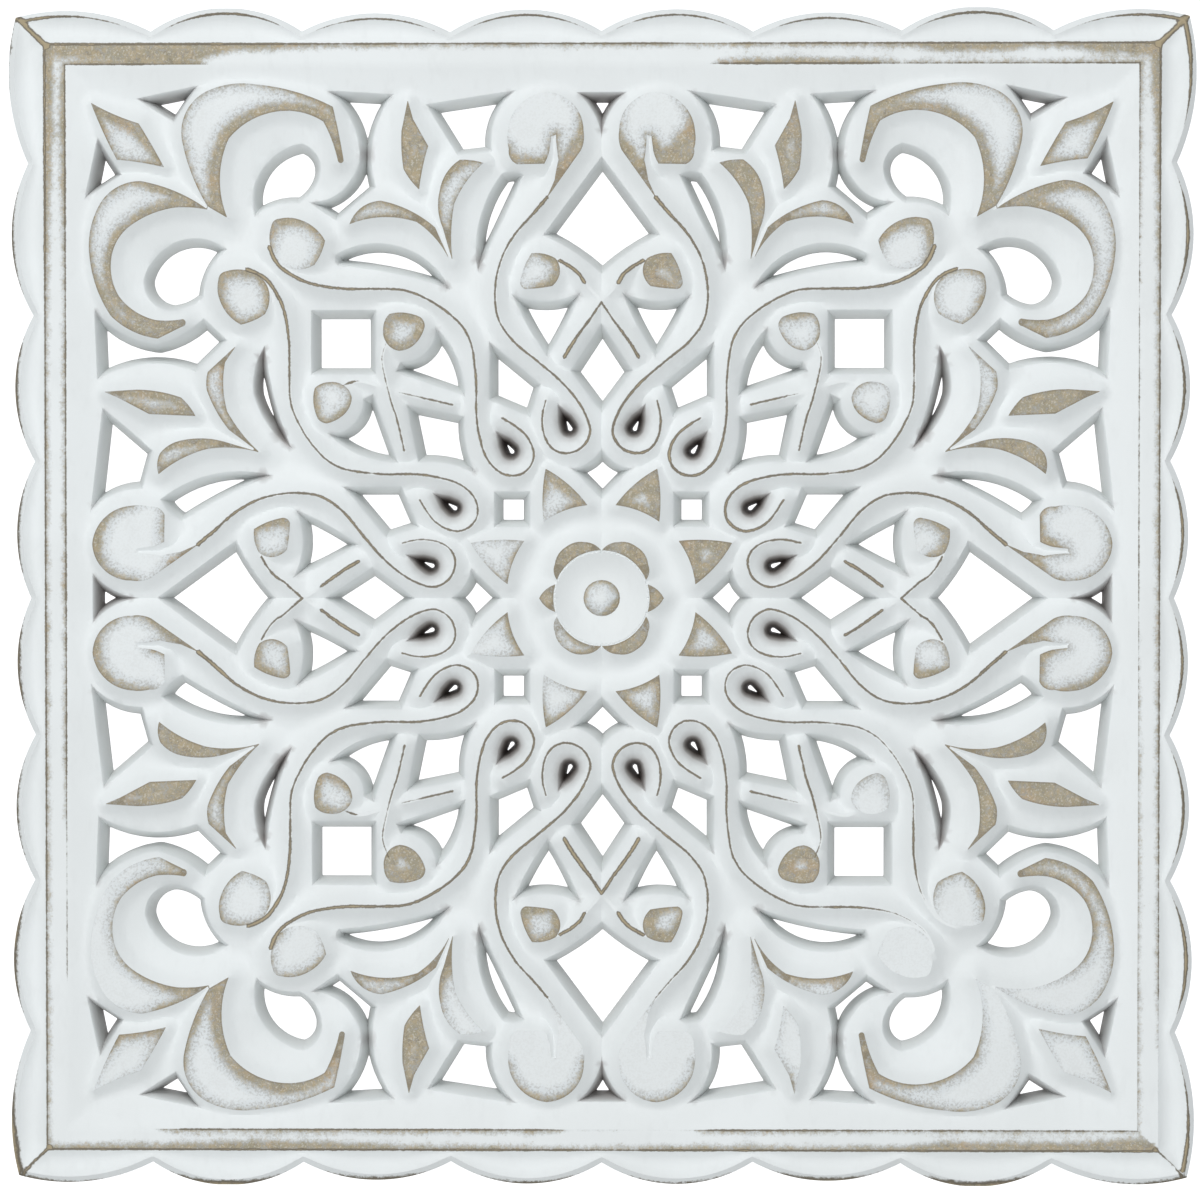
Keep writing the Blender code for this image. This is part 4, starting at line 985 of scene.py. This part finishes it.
# crest lines: half width of the worn line, along each crest and quarter,
# read off (share of its length, half width) steps
CREST_WEAR = {
    "scroll_a": (((0, 3.5), (0.06, 2), (0.15, 1.2), (0.5, 1.2), (0.8, 1.5), (1, 1.0)), ((0, 4), (0.08, 2.4), (0.2, 1.5), (0.5, 1.8), (0.8, 2.4), (1, 1.4)),
                 ((0, 1.8), (0.1, 1.2), (0.4, 2.0), (0.6, 1.9), (1, 1.1)), ((0, 0.8), (0.1, 1.2), (0.5, 1.4), (0.7, 1.8), (1, 1.2))),
    "scroll_a_low": (((0, 3.5), (0.08, 2.4), (0.2, 1.4), (0.5, 1.8), (1, 0.9)), ((0, 4), (0.08, 2.6), (0.3, 1.6), (0.5, 1.7), (1, 1.3)),
                     ((0, 4.5), (0.12, 2.4), (0.25, 1.4), (0.6, 1.2), (1, 1.1)), ((0, 4), (0.1, 2.2), (0.3, 1.4), (0.6, 1.4), (1, 1.1))),
    "scroll_b": (((0, 3.5), (0.1, 2.6), (0.25, 1.5), (0.6, 1.4), (1, 1.3)), ((0, 4.5), (0.12, 2.8), (0.3, 1.5), (0.6, 1.2), (0.75, 2.4), (0.9, 2.6), (1, 1.2)),
                 ((0, 4), (0.12, 2.6), (0.3, 2.4), (0.6, 1.9), (1, 1.3)), ((0, -0.6), (0.1, 0.6), (0.25, 1.6), (0.6, 1.4), (1, 1.2))),
    "scroll_b_low": (((0, 4), (0.1, 3), (0.2, 1.5), (0.4, 0.9), (0.6, 1.6), (1, 1.0)), ((0, 3.5), (0.12, 2.4), (0.3, 1.1), (0.6, 1.4), (0.75, 2.0), (0.85, 2.4), (1, 1.2)),
                     ((0, 4), (0.15, 2.6), (0.3, 1.4), (0.6, 1.7), (1, 1.2)), ((0, -1), (0.1, 0.4), (0.2, 1.6), (0.35, 0.7), (0.6, 1.2), (1, 1.1))),
    "bud_stem": (((0, 2.4), (1, 2.4)), ((0, 2.6), (1, 2.8)), ((0, 2.0), (1, 2.2)), ((0, 2.6), (1, 2.8))),
    "bud_stem_low": (((0, 1.3), (1, 1.2)), ((0, 1.2), (1, 1.2)), ((0, 1.2), (1, 1.2)), ((0, 1.2), (1, 1.4))),
    "arm": (((0, 1.7), (0.5, 1.9), (1, 2.6)), ((0, 1.3), (0.5, 1.8), (1, 2.6)), ((0, 2.6), (0.6, 3.0), (1, 3.0)), ((0, 2.2), (1, 2.4))),
    "arm_low": (((0, 1.8), (1, 2.4)), ((0, 2.0), (1, 2.4)), ((0, 2.0), (1, 2.4)), ((0, 1.8), (1, 2.0))),
    "over": (((0, 0), (0.2, 0.6), (1, 1.4)), ((0, 0), (0.2, 1), (1, 1.4)), ((0, 0.6), (1, 1.4)), ((0, 0.6), (0.5, 1.6), (1, 1.4))),
    "under": (((0, -1), (0.1, 2), (0.25, -2), (0.3, -3), (0.6, 1), (1, 1.4)), ((0, -3), (0.5, -3), (0.6, 1), (1, 1.4)),
              ((0, -1), (0.1, 2), (0.25, -2), (0.3, -3), (0.6, 1), (1, 1.4)), ((0, -3), (0.5, -3), (0.6, 1), (1, 1.4))),
    "arm_tip": (((0, 1.4), (1, 1.4)), ((0, 1.2), (1, 1.4)), ((0, 2.4), (1, 2.4)), ((0, 2.0), (1, 2.4))),
    "arm_tip_low": (((0, 1), (0.2, -3), (1, -3)),) * 4,
    "bud_tip": (((0, 1), (0.15, -3), (1, -3)),) * 4,
    "bud_tip_low": (((0, 1.2), (1, 1.5)),) * 4,
}


def named_crests():
    out = []
    for key, k in CRESTS_OCTANT.items():
        out += [(key, spline(k)), (key + "_low", swap(spline(k)))]
    out += [("over", spline(STEM_OVER)), ("under", spline(STEM_UNDER)),
            ("arm_tip", spline(ARM_TIP)), ("arm_tip_low", swap(spline(ARM_TIP))),
            ("bud_tip", spline(BUD_TIP)), ("bud_tip_low", swap(spline(BUD_TIP)))]
    return out


def wear_of_crests(uv, src, signs):
    out = np.full(len(src), -30.0)
    for key, line in named_crests():
        line = densify(np.asarray(line, float), 1.5)
        i = near(uv, line, 6)
        if not len(i):
            continue
        gaps = np.hypot(uv[i, 0][:, None] - line[:, 0], uv[i, 1][:, None] - line[:, 1])
        share = np.linspace(0, 1, len(line))
        for quarter, steps in zip(QUARTERS, CREST_WEAR[key]):
            value = np.full(len(uv), -30.0)
            width = profile(share, steps)
            slim = 0.75 if key.startswith(("arm", "bud")) else 0.45
            width = np.where(width > 1.15, 1.25 + slim * (width - 1.15), width)
            value[i] = (width[None, :] - gaps).max(1)
            pick = np.all(signs == quarter, axis=1)
            out[pick] = np.maximum(out[pick], value[src[pick]])
    return out


# ---------------------------------------------------------------------------
# Materials
# ---------------------------------------------------------------------------
class Graph:
    """Short hand for shader nodes."""

    def __init__(self, name):
        self.mat = bpy.data.materials.new(name)
        self.mat.use_nodes = True
        self.tree = self.mat.node_tree
        self.skin = self.tree.nodes["Principled BSDF"]
        self.coord = self.tree.nodes.new("ShaderNodeTexCoord").outputs["Object"]

    def put(self, socket, value):
        if isinstance(value, bpy.types.NodeSocket):
            self.tree.links.new(value, socket)
        elif isinstance(value, (tuple, list)) and len(value) == 3 and socket.type == "RGBA":
            socket.default_value = (*value, 1.0)
        else:
            socket.default_value = value

    def attr(self, name):
        n = self.tree.nodes.new("ShaderNodeAttribute")
        n.attribute_name = name
        return n.outputs["Fac"]

    def math(self, op, a, b=0.0, c=0.0, clamp=False):
        n = self.tree.nodes.new("ShaderNodeMath")
        n.operation, n.use_clamp = op, clamp
        for s, x in zip(n.inputs, (a, b, c)):
            self.put(s, x)
        return n.outputs[0]

    def noise(self, scale, detail=4.0, rough=0.6, stretch=None, offset=None):
        n = self.tree.nodes.new("ShaderNodeTexNoise")
        vec = self.coord
        if stretch or offset:
            m = self.tree.nodes.new("ShaderNodeMapping")
            m.inputs["Scale"].default_value = stretch or (1, 1, 1)
            m.inputs["Location"].default_value = offset or (0, 0, 0)
            self.put(m.inputs["Vector"], vec)
            vec = m.outputs[0]
        self.put(n.inputs["Vector"], vec)
        self.put(n.inputs["Scale"], scale)
        self.put(n.inputs["Detail"], detail)
        self.put(n.inputs["Roughness"], rough)
        return n.outputs["Fac"]

    def ramp(self, x, lo, hi, a=0.0, b=1.0, smooth=True):
        n = self.tree.nodes.new("ShaderNodeMapRange")
        n.interpolation_type = "SMOOTHSTEP" if smooth else "LINEAR"
        n.clamp = True
        for k, val in zip(("Value", "From Min", "From Max", "To Min", "To Max"), (x, lo, hi, a, b)):
            self.put(n.inputs[k], val)
        return n.outputs[0]

    def mix(self, f, a, b, kind="MIX"):
        n = self.tree.nodes.new("ShaderNodeMix")
        n.data_type, n.blend_type, n.clamp_factor = "RGBA", kind, True
        self.put(n.inputs[0], f)
        self.put(n.inputs[6], a)
        self.put(n.inputs[7], b)
        return n.outputs[2]


def whitewash():
    g = Graph("whitewash_worn")
    face, rim, wall, worn, rim_worn, line, pocket_shade, recess_shade = (g.attr(k) for k in (
        "face", "rim", "wall", "worn", "rim_worn", "line", "pocket_shade", "recess_shade"))
    speck = g.noise(1250, 2, 0.7)
    fleck = g.noise(640, 3, 0.8, offset=(3.1, 0.4, 1.7))
    patch = g.noise(130, 3, 0.55, offset=(0.3, 1.1, 4.2))
    broad = g.noise(26, 2, 0.5, offset=(5.0, 2.0, 1.0))

    def about(noise, amount):
        return g.math("MULTIPLY", g.math("SUBTRACT", noise, 0.5), amount)

    # sanded areas: solid at their outline, breaking up into specks inwards
    on_face = g.ramp(face, -0.65, -0.15)
    on_rim = g.ramp(rim, -0.65, -0.15)
    depth = g.math("MAXIMUM", g.math("MULTIPLY", on_face, g.math("ADD", worn, 40.0)),
                   g.math("MULTIPLY", on_rim, g.math("ADD", rim_worn, 40.0)))
    depth = g.math("MINIMUM", g.math("SUBTRACT", depth, 40.0), 3.4)
    sunk = g.math("MAXIMUM", g.ramp(depth, -4.0, 2.0), g.ramp(line, -0.2, 0.6))
    depth = g.math("ADD", depth, about(patch, 9.0))
    grains = g.math("ADD", about(speck, 15.0), about(fleck, 15.0))
    bare = g.ramp(g.math("ADD", depth, grains), -3.4, 4.0)
    grainy = g.math("ADD", about(fleck, 7.0), about(patch, 5.0))
    veil_face = g.math("MAXIMUM", g.ramp(g.math("ADD", g.math("ADD", worn, about(patch, 9.0)), grainy), -15.0, 0.5), 0.13)
    veil_rim = g.ramp(g.math("ADD", g.math("ADD", rim_worn, about(patch, 6.0)), grainy), -6.0, 1.5)
    veil = g.math("MAXIMUM", g.math("MULTIPLY", on_face, veil_face), g.math("MULTIPLY", on_rim, veil_rim))
    # lines along crests and scallops
    line_at = g.math("ADD", g.math("SUBTRACT", line, 0.32), g.math("ADD", about(fleck, 2.4), about(patch, 1.2)))
    drawn = g.ramp(line_at, -0.6, 0.45)
    # bare wood: tan, here and there warmer or greyer, darker at its outline
    tan = g.mix(g.ramp(g.noise(300, 3, 0.75, offset=(9, 1, 2)), 0.38, 0.62), (0.425, 0.355, 0.238), (0.335, 0.302, 0.215))
    tan = g.mix(g.math("MULTIPLY", g.ramp(g.noise(60, 2, 0.5, offset=(2, 7, 3)), 0.56, 0.70), 0.55), tan, (0.455, 0.335, 0.212))
    tan = g.mix(g.math("MULTIPLY", g.ramp(speck, 0.50, 0.66), 0.6), tan, (0.62, 0.61, 0.555))
    tan = g.mix(g.math("MULTIPLY", g.ramp(fleck, 0.52, 0.36), 0.75), tan, (0.205, 0.175, 0.125))
    edge_face = g.math("MULTIPLY", on_face, g.ramp(face, 2.0, 0.1))
    edge_rim = g.math("MULTIPLY", on_rim, g.ramp(rim, 2.0, 0.1))
    edge = g.math("MULTIPLY", g.math("MAXIMUM", edge_face, edge_rim), 0.6)
    tan = g.mix(edge, tan, (0.20, 0.17, 0.12))
    stroke = g.mix(g.ramp(g.math("ADD", line_at, about(patch, 1.5)), 0.6, 1.9), (0.175, 0.155, 0.12), (0.40, 0.335, 0.22))
    # paint: thick white, greyer where it is rubbed thin; the openings' walls get greyer, greener paint and painted
    # shade deeper in
    white = g.mix(g.ramp(broad, 0.4, 0.6), (0.792, 0.828, 0.836), (0.770, 0.804, 0.810))
    white = g.mix(g.math("MULTIPLY", g.ramp(g.noise(230, 2, 0.7, (1, 1, 0.35), (1, 6, 2)), 0.5, 0.75), 0.25), white, (0.70, 0.73, 0.735))
    # the openings' walls: greyer, greener paint, partly painted shade deeper in
    white = g.mix(g.math("MULTIPLY", wall, 0.4), white, (0.70, 0.725, 0.695))
    # painted shade: darker on the openings' walls, in small openings and down narrow tails
    painted_shade = g.math("ADD", recess_shade, g.math("MULTIPLY", about(patch, 0.2), recess_shade), clamp=True)
    white = g.mix(painted_shade, white, (0.235, 0.205, 0.195))
    rubbed = g.mix(g.ramp(g.math("ADD", speck, about(patch, 0.35)), 0.36, 0.56), (0.36, 0.36, 0.345), (0.64, 0.68, 0.70))
    white = g.mix(g.math("MULTIPLY", veil, 0.84), white, rubbed)
    colour = g.mix(bare, white, tan)
    colour = g.mix(drawn, colour, stroke)
    # painted shade: the narrow pockets are darkened inside, towards the slit
    dark = g.math("POWER", g.math("ADD", pocket_shade, g.math("MULTIPLY", about(patch, 0.25), pocket_shade), clamp=True), 1.1)
    colour = g.mix(dark, colour, g.mix(g.ramp(pocket_shade, 0.5, 1.0), (0.235, 0.21, 0.195), (0.105, 0.083, 0.072)))
    g.put(g.skin.inputs["Base Color"], colour)
    g.put(g.skin.inputs["Roughness"], g.math("ADD", g.ramp(speck, 0.2, 0.8, 0.55, 0.72), g.math("MULTIPLY", bare, 0.16)))
    g.put(g.skin.inputs["Specular IOR Level"], 0.35)
    low = g.math("MULTIPLY", sunk, -0.35)
    height = g.math("ADD", g.math("MULTIPLY", g.noise(520, 3, 0.62), 0.8),
                    g.math("ADD", low, g.math("MULTIPLY", g.noise(240, 2, 0.5, (1, 1, 0.12), (4, 4, 1)), 0.5)))
    bump = g.tree.nodes.new("ShaderNodeBump")
    bump.inputs["Strength"].default_value = 0.35
    bump.inputs["Distance"].default_value = 0.00022
    g.put(bump.inputs["Height"], height)
    g.put(g.skin.inputs["Normal"], bump.outputs[0])
    return g.mat


def bare_back():
    g = Graph("back_wash")
    base = g.mix(g.ramp(g.noise(45, 5, 0.6, (1, 1, 0.12)), 0.35, 0.7), (0.50, 0.42, 0.31), (0.66, 0.63, 0.57))
    g.put(g.skin.inputs["Base Color"], g.mix(g.ramp(g.noise(900, 3, 0.7), 0.55, 0.75), base, (0.36, 0.29, 0.2)))
    g.put(g.skin.inputs["Roughness"], g.ramp(g.noise(300, 3, 0.6), 0.2, 0.8, 0.7, 0.9))
    bump = g.tree.nodes.new("ShaderNodeBump")
    bump.inputs["Strength"].default_value = 0.2
    bump.inputs["Distance"].default_value = 0.0003
    g.put(bump.inputs["Height"], g.noise(500, 4, 0.6, (1, 1, 0.2)))
    g.put(g.skin.inputs["Normal"], bump.outputs[0])
    return g.mat


def distance_sides(p, side):
    return distance(p, side, False)


# ---------------------------------------------------------------------------
# Whole panel: four mirrored quarters, back and outer wall, with wear and painted shade values
# ---------------------------------------------------------------------------
DOT_WEAR = {(-1, 1): 2.0, (1, 1): 3.0, (-1, -1): 2.5, (1, -1): 6.0}
CHIPS = [((-588.6, 556.2), 3.2), ((-585.5, 346.0), 2.8)]      # dark nicks in the outer edge


def quarter_values(v, z, plan):
    """Per point: how far inside a flat and the rim, how deep in a wall, and how
    much painted shade darkens the pockets and the openings' walls."""
    face = np.full(len(v), -30.0)
    for r in plan.flats:
        i = near(v, r, 30)
        d = distance(v[i], r, True)
        face[i] = np.maximum(face[i], np.where(inside(v[i], r), d, -d))
    face = np.maximum(face, DOT_R - np.hypot(v[:, 0], v[:, 1]))
    u, w = v[:, 0], v[:, 1]
    rim = np.minimum(np.maximum(u - RIM_IN_U, w - RIM_IN_V), -np.maximum(u - RIM_OUT_U, w - RIM_OUT_V))
    wall, pocket_shade, recess_shade = (np.zeros(len(v)) for _ in range(3))
    to_back = np.full(len(v), 99.0)
    for loop in plan.backs:
        i = near(v, loop, 40)
        to_back[i] = np.minimum(to_back[i], distance(v[i], loop, False))
    for r, power in zip(plan.openings, plan.powers):
        i = near(v, r, 0.1)
        part = np.clip(depth_in(v[i], r) / DRAFT_RUN, 0, 1)
        wall[i] = np.maximum(wall[i], part)
        nxt = np.roll(r, -1, 0)
        around = np.hypot(*(nxt - r).T).sum()
        spread = abs(np.sum(r[:, 0] * nxt[:, 1] - nxt[:, 0] * r[:, 1])) / around
        small = np.clip((19 - spread) / 8, 0, 1)
        tiny = np.clip((15.8 - spread) / 4, 0, 1)
        narrow = np.clip((to_back[i] - DRAFT_RUN - 0.5) / 13, 0, 1) * np.clip((FACE - z[i]) / 13, 0, 1)
        # painted shade: walls darker deeper in, more in small openings and narrow tails
        recess_shade[i] = np.maximum(recess_shade[i], np.where(part > 0, np.clip((0.16 + 0.3 * small + 0.4 * tiny) * part ** (1.4 - 0.8 * tiny) + 0.5 * narrow, 0, 0.85), 0))
        # painted shade: pockets darkened towards their depth
        if power == POCKET_POWER:
            i = near(v, r, 8)
            d = distance(v[i], r, True)
            d = np.where(inside(v[i], r), d, -d)
            tip = r[np.argmax(np.hypot(*(r - r.mean(0)).T))]
            fade = np.clip(0.2 + np.hypot(*(v[i] - tip).T) / 19, 0, 1)
            pocket_shade[i] = np.maximum(pocket_shade[i], fade * np.clip((d + 7.0) / (DRAFT_RUN + 5.5), 0, 1))
    return face, rim, wall, pocket_shade, recess_shade


def worn_values(uv, plan, src, signs):
    at = uv[src]
    worn = wear_of_flats(uv, plan, src, signs)
    rr = np.hypot(at[:, 0], at[:, 1])
    for quarter, w in DOT_WEAR.items():
        pick = np.all(signs == quarter, axis=1) & (rr < DOT_R + 0.1)
        worn[pick] = np.maximum(worn[pick], w - (DOT_R - rr[pick]))
    line = np.maximum(wear_of_scallops(at, plan, signs), wear_of_crests(uv, src, signs))
    line = np.maximum(line, wear_of_rim_lines(at, signs))
    for (cu, cv), size in CHIPS:
        d = np.hypot((at[:, 0] * signs[:, 0] - cu), (at[:, 1] * signs[:, 1] - cv) / 1.5)
        line = np.maximum(line, np.minimum(size - d, 0.9))
    return worn, wear_of_rim(at, signs), line


def build_panel():
    plan = Fine()
    v, f = refine(plan, tol=0.42, rounds=3, least=1.3, snap=0.25)
    z = fine_surface(v, plan)
    face, rim, wall, pocket_shade, recess_shade = quarter_values(v, z, plan)
    pairs = {(int(a), int(b)) for t in f for a, b in ((t[0], t[1]), (t[1], t[2]), (t[2], t[0]))}
    border = [(a, b) for a, b in pairs if (b, a) not in pairs]
    free = [(a, b) for a, b in border if not (max(abs(v[a][0]), abs(v[b][0])) < 1e-4 or max(abs(v[a][1]), abs(v[b][1])) < 1e-4)]
    outer = [(a, b) for a, b in free if z[a] > 1e-3 or z[b] > 1e-3]
    used = sorted({i for e in free for i in e})
    flat = np.vstack([v[used], [(0.0, 0.0)]])
    place = {i: k for k, i in enumerate(used)}
    along = [sorted([k for k in range(len(flat)) if abs(flat[k][ax]) < 1e-4], key=lambda k: flat[k][1 - ax]) for ax in (0, 1)]
    edges = [(place[a], place[b]) for a, b in free] + [e for run in along for e in zip(run, run[1:])]
    bv, _, bf, _, _, _ = delaunay_2d_cdt([Vector((float(x), float(y))) for x, y in flat], edges, [], 0, 1e-5)
    bv = np.array([tuple(p) for p in bv])
    bf = np.array([t for t in bf if len(t) == 3])
    c = bv[bf].mean(1)
    keep = np.all(c > 0, axis=1) & inside(c, np.vstack([plan.edge, [(0, 0)]]))
    for loop in plan.backs:
        i = near(c, loop, 0)
        keep[i] &= ~inside(c[i], loop)
    bf = bf[keep]
    index = {(round(v[i][0] * 100), round(v[i][1] * 100)): i for i in used}
    n = len(v)
    points = np.column_stack([v, z])
    foot, extra, ids = {}, [], []
    for p in bv:
        k = index.get((round(p[0] * 100), round(p[1] * 100)))
        if k is not None and abs(z[k]) < 1e-3:
            ids.append(k)
            continue
        key = k if k is not None else "centre"
        if key not in foot:
            foot[key] = n + len(extra)
            extra.append((float(p[0]), float(p[1]), 0.0))
        ids.append(foot[key])
    points = np.vstack([points, np.array(extra)])
    tris = [tuple(int(i) for i in t) for t in f]
    kinds = [0] * len(tris)
    for t in bf:
        tris.append((ids[t[0]], ids[t[2]], ids[t[1]]))
        kinds.append(1)
    for a, b in outer:
        fa, fb = foot.get(a, a), foot.get(b, b)
        tris.append((a, fa, fb, b))
        kinds.append(2)
    m = len(points)
    pad = m - n
    # recess_shade and pocket_shade are painted shade; the outer wall gets a little recess shade
    base = {"face": np.concatenate([face, np.full(pad, -30.0)]), "rim": np.concatenate([rim, np.full(pad, -30.0)]),
            "wall": np.concatenate([wall, np.ones(pad)]), "pocket_shade": np.concatenate([pocket_shade, np.zeros(pad)]),
            "recess_shade": np.concatenate([recess_shade, np.full(pad, 0.1)])}
    weld, xyz, polys, kind = {}, [], [], []
    source = []
    for su, sv in ((1, 1), (-1, 1), (-1, -1), (1, -1)):
        ids = []
        for k, (u, w, h) in enumerate(points):
            u = 0.0 if abs(u) < 1e-4 else u * su
            w = 0.0 if abs(w) < 1e-4 else w * sv
            key = (round(u * 200), round(w * 200), round(h * 200))
            if key not in weld:
                weld[key] = len(xyz)
                xyz.append((u * UNIT, -h * UNIT, w * UNIT * HEIGHT_RATIO))
                source.append((k, su, sv))
            ids.append(weld[key])
        for t, kd in zip(tris, kinds):
            t = [ids[i] for i in t]
            if len(set(t)) < 3:
                continue
            polys.append(t if su * sv > 0 else t[::-1])
            kind.append(kd)
    mesh = bpy.data.meshes.new("carving")
    mesh.from_pydata(np.clip(np.array(xyz), CAD_BOX[0], CAD_BOX[1]).tolist(), [], polys)
    mesh.update()
    src = np.array([s[0] for s in source])
    for name, val in base.items():
        mesh.attributes.new(name, "FLOAT", "POINT").data.foreach_set("value", val[src].astype(np.float32))
    signs = np.array([s[1:] for s in source])
    for name, val in zip(("worn", "rim_worn", "line"), worn_values(points[:, :2], plan, src, signs)):
        mesh.attributes.new(name, "FLOAT", "POINT").data.foreach_set("value", val.astype(np.float32))
    mesh.polygons.foreach_set("use_smooth", np.ones(len(mesh.polygons), bool))
    mesh.set_sharp_from_angle(angle=math.radians(26))
    panel = bpy.data.objects.new("carving", mesh)
    bpy.context.scene.collection.objects.link(panel)
    mesh.materials.append(whitewash())
    mesh.materials.append(bare_back())
    mesh.polygons.foreach_set("material_index", np.array([1 if k == 1 else 0 for k in kind], np.int32))
    mesh.calc_loop_triangles()
    print("carving:", len(mesh.loop_triangles), "triangles")
    return panel


# ---------------------------------------------------------------------------
# Panel, backdrop, light, camera
# ---------------------------------------------------------------------------
panel = build_panel()
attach(panel, "root")
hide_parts("carved_panel")


def backdrop():
    mesh = bpy.data.meshes.new("backdrop")
    s, y = 3.06, 3.4
    mesh.from_pydata([(-s, y, -s), (s, y, -s), (s, y, s), (-s, y, s)], [], [(0, 1, 2, 3)])
    obj = bpy.data.objects.new("backdrop", mesh)
    bpy.context.scene.collection.objects.link(obj)
    mat = bpy.data.materials.new("backdrop_white")
    mat.use_nodes = True
    skin = mat.node_tree.nodes["Principled BSDF"]
    skin.inputs["Base Color"].default_value = (0.9, 0.9, 0.9, 1)
    skin.inputs["Roughness"].default_value = 1.0
    skin.inputs["Emission Color"].default_value = (0.985, 0.99, 1, 1)
    skin.inputs["Emission Strength"].default_value = BACKDROP_GLOW
    mesh.materials.append(mat)


def lamp(name, place, size, power, colour=(1, 1, 1)):
    data = bpy.data.lights.new(name, "AREA")
    data.shape, data.size, data.energy, data.color = "SQUARE", size, power, colour
    obj = bpy.data.objects.new(name, data)
    obj.location = place
    obj.rotation_euler = (Vector((0, 0, 0)) - Vector(place)).to_track_quat("-Z", "Y").to_euler()
    bpy.context.scene.collection.objects.link(obj)


BACKDROP_GLOW = 0.90
backdrop()
lamp("front", (-0.35, -2.7, 0.2), 2.4, 33.0)
lamp("key", (-0.45, -1.4, 1.5), 1.0, 16.5)
lamp("bounce", (0.1, -1.5, -1.5), 1.4, 9.0)

world = bpy.data.worlds.new("studio")
world.use_nodes = True
world.node_tree.nodes["Background"].inputs[0].default_value = (0.97, 0.99, 1.0, 1)
world.node_tree.nodes["Background"].inputs[1].default_value = 0.28
bpy.context.scene.world = world

CAM_DISTANCE = 1.83
CAM_FOOT = (0.050, 0.020)
LENS_MM = 50.0
WIDE_PX, HIGH_PX = 1200.0, 1186.0
FILL = 1.0015                # how much of the picture the panel takes
PITCH_DEG = 1.5              # the camera looks slightly down

cam_data = bpy.data.cameras.new("camera")
cam = bpy.data.objects.new("camera", cam_data)
bpy.context.scene.collection.objects.link(cam)
bpy.context.scene.camera = cam
foot = Vector((CAM_FOOT[0], -CAM_DISTANCE - BOARD, CAM_FOOT[1]))
cam.location = foot
cam.rotation_euler = (math.radians(90 - PITCH_DEG), 0.0, 0.7 * math.atan2(CAM_FOOT[0], CAM_DISTANCE))
cam_data.sensor_fit = "HORIZONTAL"
cam_data.sensor_width = 36.0
cam_data.clip_end = 50.0


def frame_view():
    """Set lens and shift so the panel fills the picture as photographed."""
    # one unit of the face is one pixel at the centre
    inv = cam.matrix_world.inverted()
    def cast(p):
        q = inv @ Vector(p)
        return q.x / -q.z, q.y / -q.z
    x0, y0 = cast((0, -BOARD, 0))
    x1, _ = cast((400 * UNIT, -BOARD, 0))
    x2, _ = cast((-400 * UNIT, -BOARD, 0))
    per_unit = (x1 - x2) / 800
    focal = FILL / per_unit / WIDE_PX            # in picture widths
    cam_data.lens = focal * cam_data.sensor_width
    # the centre sits at (601.5, 598.2) of the 1200 by 1186 picture
    cam_data.shift_x = x0 * focal - (601.45 - WIDE_PX / 2) / WIDE_PX
    cam_data.shift_y = y0 * focal + (598.2 - HIGH_PX / 2) / WIDE_PX


bpy.context.view_layer.update()
frame_view()

scene = bpy.context.scene
scene.view_settings.view_transform = "Standard"
scene.view_settings.look = "None"
